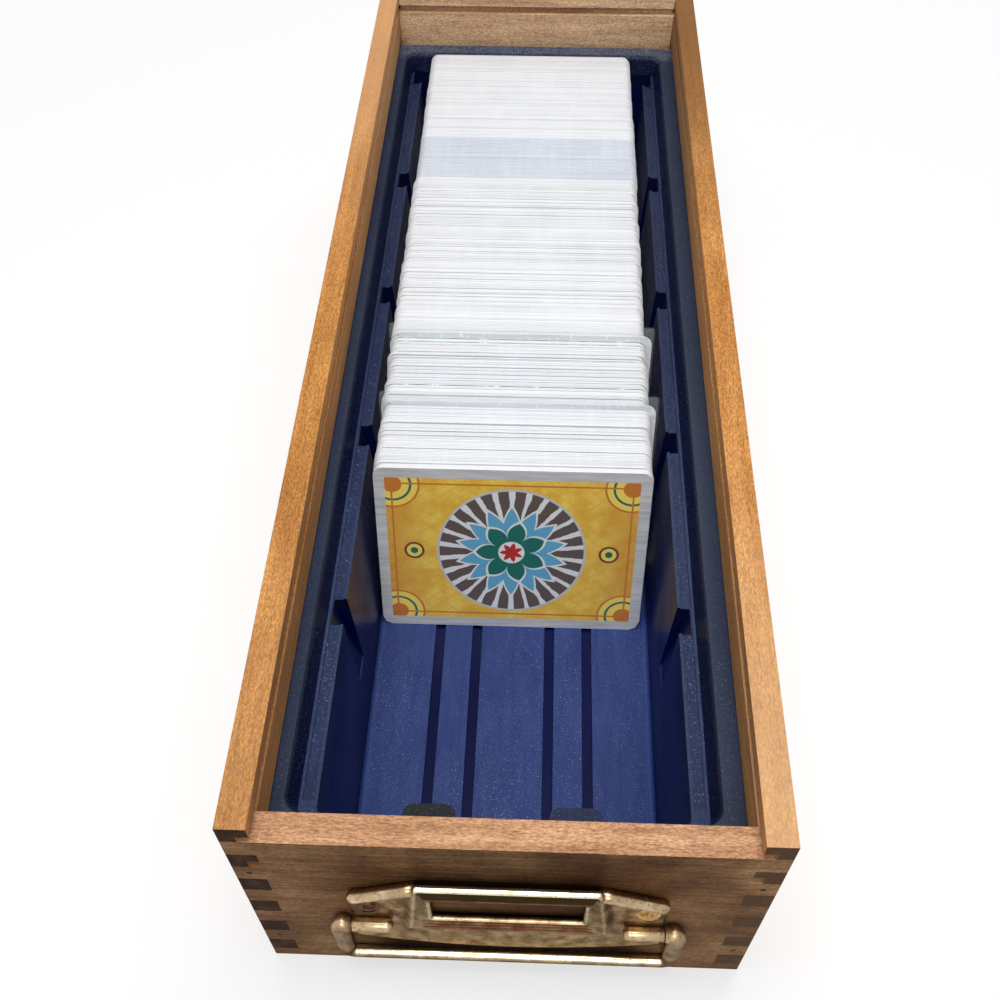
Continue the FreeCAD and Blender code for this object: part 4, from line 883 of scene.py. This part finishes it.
def stamped_plate():
    """The plate: a grid of points, fixed inside and drawn out to the outline, with a back and a window."""
    work = Brass()
    fixed_half, fixed_low, fixed_top = 27.0, -12.0, 16.9
    low_rows, top_rows = 14, 27
    half = ruled([0.0, WINDOW_HALF - WINDOW_ROLL, WINDOW_HALF, WINDOW_HALF + WINDOW_LIP, RIM_HALF[1], 24.1,
                  fixed_half, SIDE_LOW[0]], 0.45)
    columns = [-value for value in reversed(half[1:])] + half
    middle = ruled([fixed_low, RIM_LOW - RIM_SKIRT, RIM_LOW, WINDOW_LOW - WINDOW_LIP, WINDOW_LOW,
                    WINDOW_LOW + WINDOW_ROLL, WINDOW_TOP, fixed_top], 0.42)

    def levels(aside):
        """The heights of a column's points, from the low edge to the top one."""
        low, top = low_edge(aside), top_edge(aside)
        return ([fixed_low + (low - fixed_low) * (1 - step / low_rows) for step in range(low_rows)] + middle
                + [fixed_top + (top - fixed_top) * ((step + 1) / top_rows) for step in range(top_rows)])

    fronts, backs = [], []
    for column in columns:
        front, back = [], []
        for w in levels(abs(column)):
            aside = abs(column)
            if aside > fixed_half:
                stretch = (side_edge(w) - fixed_half) / (SIDE_LOW[0] - fixed_half)
                aside = fixed_half + (aside - fixed_half) * stretch
                reach = math.hypot(aside - BEAD_END[0], w - BEAD_END[1])
                if aside > BEAD_END[0] and w > BEAD_END[1] and reach > BEAD:
                    aside = BEAD_END[0] + (aside - BEAD_END[0]) * BEAD / reach
                    w = BEAD_END[1] + (w - BEAD_END[1]) * BEAD / reach
            u = math.copysign(aside, column) if column else 0.0
            height, *wear_and_light = stamped_height(u, w)
            front.append(work.point(u, height, w, *wear_and_light))
            back.append(work.point(u, max(0.03, height - SHEET), w, 0.0, 0.0, 0.6))
        fronts.append(front)
        backs.append(back)

    last_column, last_row = len(columns) - 1, len(fronts[0]) - 1
    left, right = columns.index(-WINDOW_HALF), columns.index(WINDOW_HALF)
    low, top = low_rows + middle.index(WINDOW_LOW), low_rows + middle.index(WINDOW_TOP)
    for column in range(last_column):
        for row in range(last_row):
            if left <= column < right and low <= row < top:
                continue
            for sheet in (fronts, backs):
                work.mesh.faces.new((sheet[column][row], sheet[column + 1][row],
                                     sheet[column + 1][row + 1], sheet[column][row + 1])).smooth = True

    # walls between the front and the back, along the outline and round the window
    for west, east, south, north in ((0, last_column, 0, last_row), (left, right, low, top)):
        loop = [(column, south) for column in range(west, east + 1)]
        loop += [(east, row) for row in range(south + 1, north + 1)]
        loop += [(column, north) for column in range(east - 1, west - 1, -1)]
        loop += [(west, row) for row in range(north - 1, south, -1)]
        work.skin([[sheet[column][row] for column, row in loop] for sheet in (fronts, backs)])

    for hand in (-1, 1):
        add_ear(work, hand)
        add_bead(work, hand)
    work.finish("pull_plate_stamped", "drawer_box", "pull_plate", "pull_brass", brass("pull_brass", 2))


def bent_bail():
    """The bail's rod: pins in the ears, thick knuckles, flattened arms and a round bar."""
    work = Brass()

    def corner(radius, middle, start):
        """A quarter turn clockwise at the bail's side, from start degrees on."""
        steps = [math.radians(start - 90 * step / 8) for step in range(9)]
        return [(BAIL_HALF - radius + radius * math.cos(turn), middle + radius * math.sin(turn))
                for turn in steps]

    arm_top, arm_foot = -BAIL_BEND, BAIL_CORNER - BAIL_DROP
    half = [(PIN_START, 0.0), (PIN_END, 0.0), *corner(BAIL_BEND, arm_top, 90)]
    half += [(BAIL_HALF, arm_top + (arm_foot - arm_top) * share) for share in (0.2, 0.4, 0.6, 0.8)]
    half += corner(BAIL_CORNER, arm_foot, 0)
    half += [(reach, -BAIL_DROP) for reach in (38.0, 30.0, 20.0, 10.0)]
    places = half + [(0.0, -BAIL_DROP)] + [(-u, w) for u, w in reversed(half)]
    # where a pin meets its knuckle the place comes twice, once as thick as each
    for index in (len(places) - 3, 1):
        places.insert(index, places[index])

    rings = []
    for index, (u, w) in enumerate(places):
        before, after = places[max(0, index - 1)], places[min(len(places) - 1, index + 1)]
        heading = Vector((after[0] - before[0], after[1] - before[1])).normalized()
        knuckle, bar = fade(-w, 1.0, 6.0), smooth(-w, 18.5, 22.5)
        wide = 2.45 + 0.2 * knuckle - 0.6 * bar
        deep = 1.7 + 0.75 * knuckle + 0.15 * bar
        # the bar is rubbed bright and painted with a highlight along its top
        rubbed_and_highlight = 0.42 + 0.55 * bar * fade(abs(u), 42.6, 44.4)
        if w > -1 and abs(u) < EAR_OUT + 0.1:
            wide = deep = BAIL_PIN
            rubbed_and_highlight = PIN_RUBBED
        elif w > -1 and abs(abs(u) - PIN_END) < 1e-6:
            twin = places[index + 1] == (u, w)
            wide = deep = BAIL_PIN if twin == (u > 0) else EAR_RADIUS
            rubbed_and_highlight = PIN_RUBBED
            heading = Vector((1, 0))
        low_bar = smooth(-w, 18.0, 23.0)
        axis = EAR_STAND + BAIL_SETTLE * w / BAIL_DROP
        lift = 1.5 * fade(-w, 0.0, 4.0) * smooth(abs(u), EAR_OUT + 0.3, EAR_OUT + 2.0)
        ring = []
        for turn in turns(ROD_SIDES):
            side = wide * math.cos(turn)
            # the bar's underside is less rubbed and more tarnished, partly as painted shade
            underside = low_bar * smooth(-heading.x * math.cos(turn), -0.85, -0.15)
            tarnish_and_shade = 0.6 * underside + 0.3 * (1 - low_bar) * smooth(-w, 2.0, 6.0)
            ring.append(work.point(u - heading.y * side, axis + deep * math.sin(turn),
                                   w + lift + heading.x * side, rubbed_and_highlight - 0.6 * underside, 0.0, tarnish_and_shade))
        rings.append(ring)
    work.skin(rings)
    for ring, place in ((rings[0], places[0]), (rings[-1], places[-1])):
        work.cap(ring, work.point(place[0], EAR_STAND, place[1]))
    work.finish("bail_handle_rod", "bail", "bail_handle", "bail_brass", brass("bail_brass", 4))


stamped_plate()
bent_bail()


# ---------------------------------------------------------------- softened edges

def soften(name, width):
    """Rounds the sharp edges of a CAD piece a little, as handling does."""
    node = NODES[name]
    weld = node.modifiers.new("weld", "WELD")
    weld.merge_threshold = 1e-6
    bevel = node.modifiers.new("soft_edges", "BEVEL")
    bevel.width = width
    bevel.segments = 2
    bevel.limit_method = "ANGLE"
    bevel.angle_limit = math.radians(35)
    bevel.harden_normals = True


for board in ("left_side", "right_side", "front_panel", "back_panel"):
    soften(board, 0.35 * MM)


# ---------------------------------------------------------------- stage

def add_stage():
    """A floor that keeps the box's shadow and glows white further out."""
    graph = Finish("stage_floor", Roughness=0.9, Base_Color=(0.9, 0.9, 0.9))
    across, along, _ = graph.axes(graph.place())
    white = graph.times(graph.background(), graph.band(graph.distance(across, along), 0.24, 0.9, 0.62, 1.0))
    glow = graph.add("Emission", {"Color": (1, 1, 1), "Strength": 1.0})
    share = graph.add("MixShader", {0: white, 1: graph.shader.outputs[0], 2: glow.outputs[0]})
    graph.feed(graph.nodes["Material Output"].inputs["Surface"], share.outputs[0])
    bpy.ops.mesh.primitive_plane_add(size=6.0, location=(0, 0, 0))
    floor = bpy.context.object
    floor.name = "stage_floor"
    floor.data.materials.append(graph.material)


def add_world():
    """White behind the object, and a plain low light on it."""
    world = bpy.data.worlds.new("studio")
    world.use_nodes = True
    bpy.context.scene.world = world
    graph = Graph(world.node_tree)
    background = graph.nodes["Background"].inputs
    graph.feed(background["Color"], (1, 1, 1))
    graph.feed(background["Strength"], graph.band(graph.background(), 0.0, 1.0, 0.3, 1.0))


def add_light(name, place, target, width, power):
    data = bpy.data.lights.new(name, "AREA")
    data.shape = "SQUARE"
    data.size = width
    data.energy = power
    lamp = bpy.data.objects.new(name, data)
    lamp.location = place
    lamp.rotation_euler = (Vector(target) - Vector(place)).to_track_quat("-Z", "Y").to_euler()
    bpy.context.scene.collection.objects.link(lamp)


def add_camera():
    data = bpy.data.cameras.new("camera")
    data.sensor_width = CAMERA_SENSOR
    data.lens = CAMERA_LENS
    data.shift_x, data.shift_y = CAMERA_SHIFT
    data.clip_start = 0.01
    camera = bpy.data.objects.new("camera", data)
    camera.location = CAMERA_PLACE
    camera.rotation_euler = [math.radians(turn) for turn in CAMERA_TURN]
    bpy.context.scene.collection.objects.link(camera)
    bpy.context.scene.camera = camera


add_stage()
add_world()
add_light("key", (-0.04, -0.1, 1.0), (0.0, 0.0, 0.06), 0.5, 6.4)
add_light("front_fill", (0.0, -2.1, 1.8), (0.0, 0.0, 0.06), 1.0, 19.0)
add_light("rear_fill", (0.5, 0.9, 1.3), (0.0, 0.1, 0.05), 0.7, 5.2)
add_camera()
bpy.context.scene.view_settings.view_transform = "Standard"
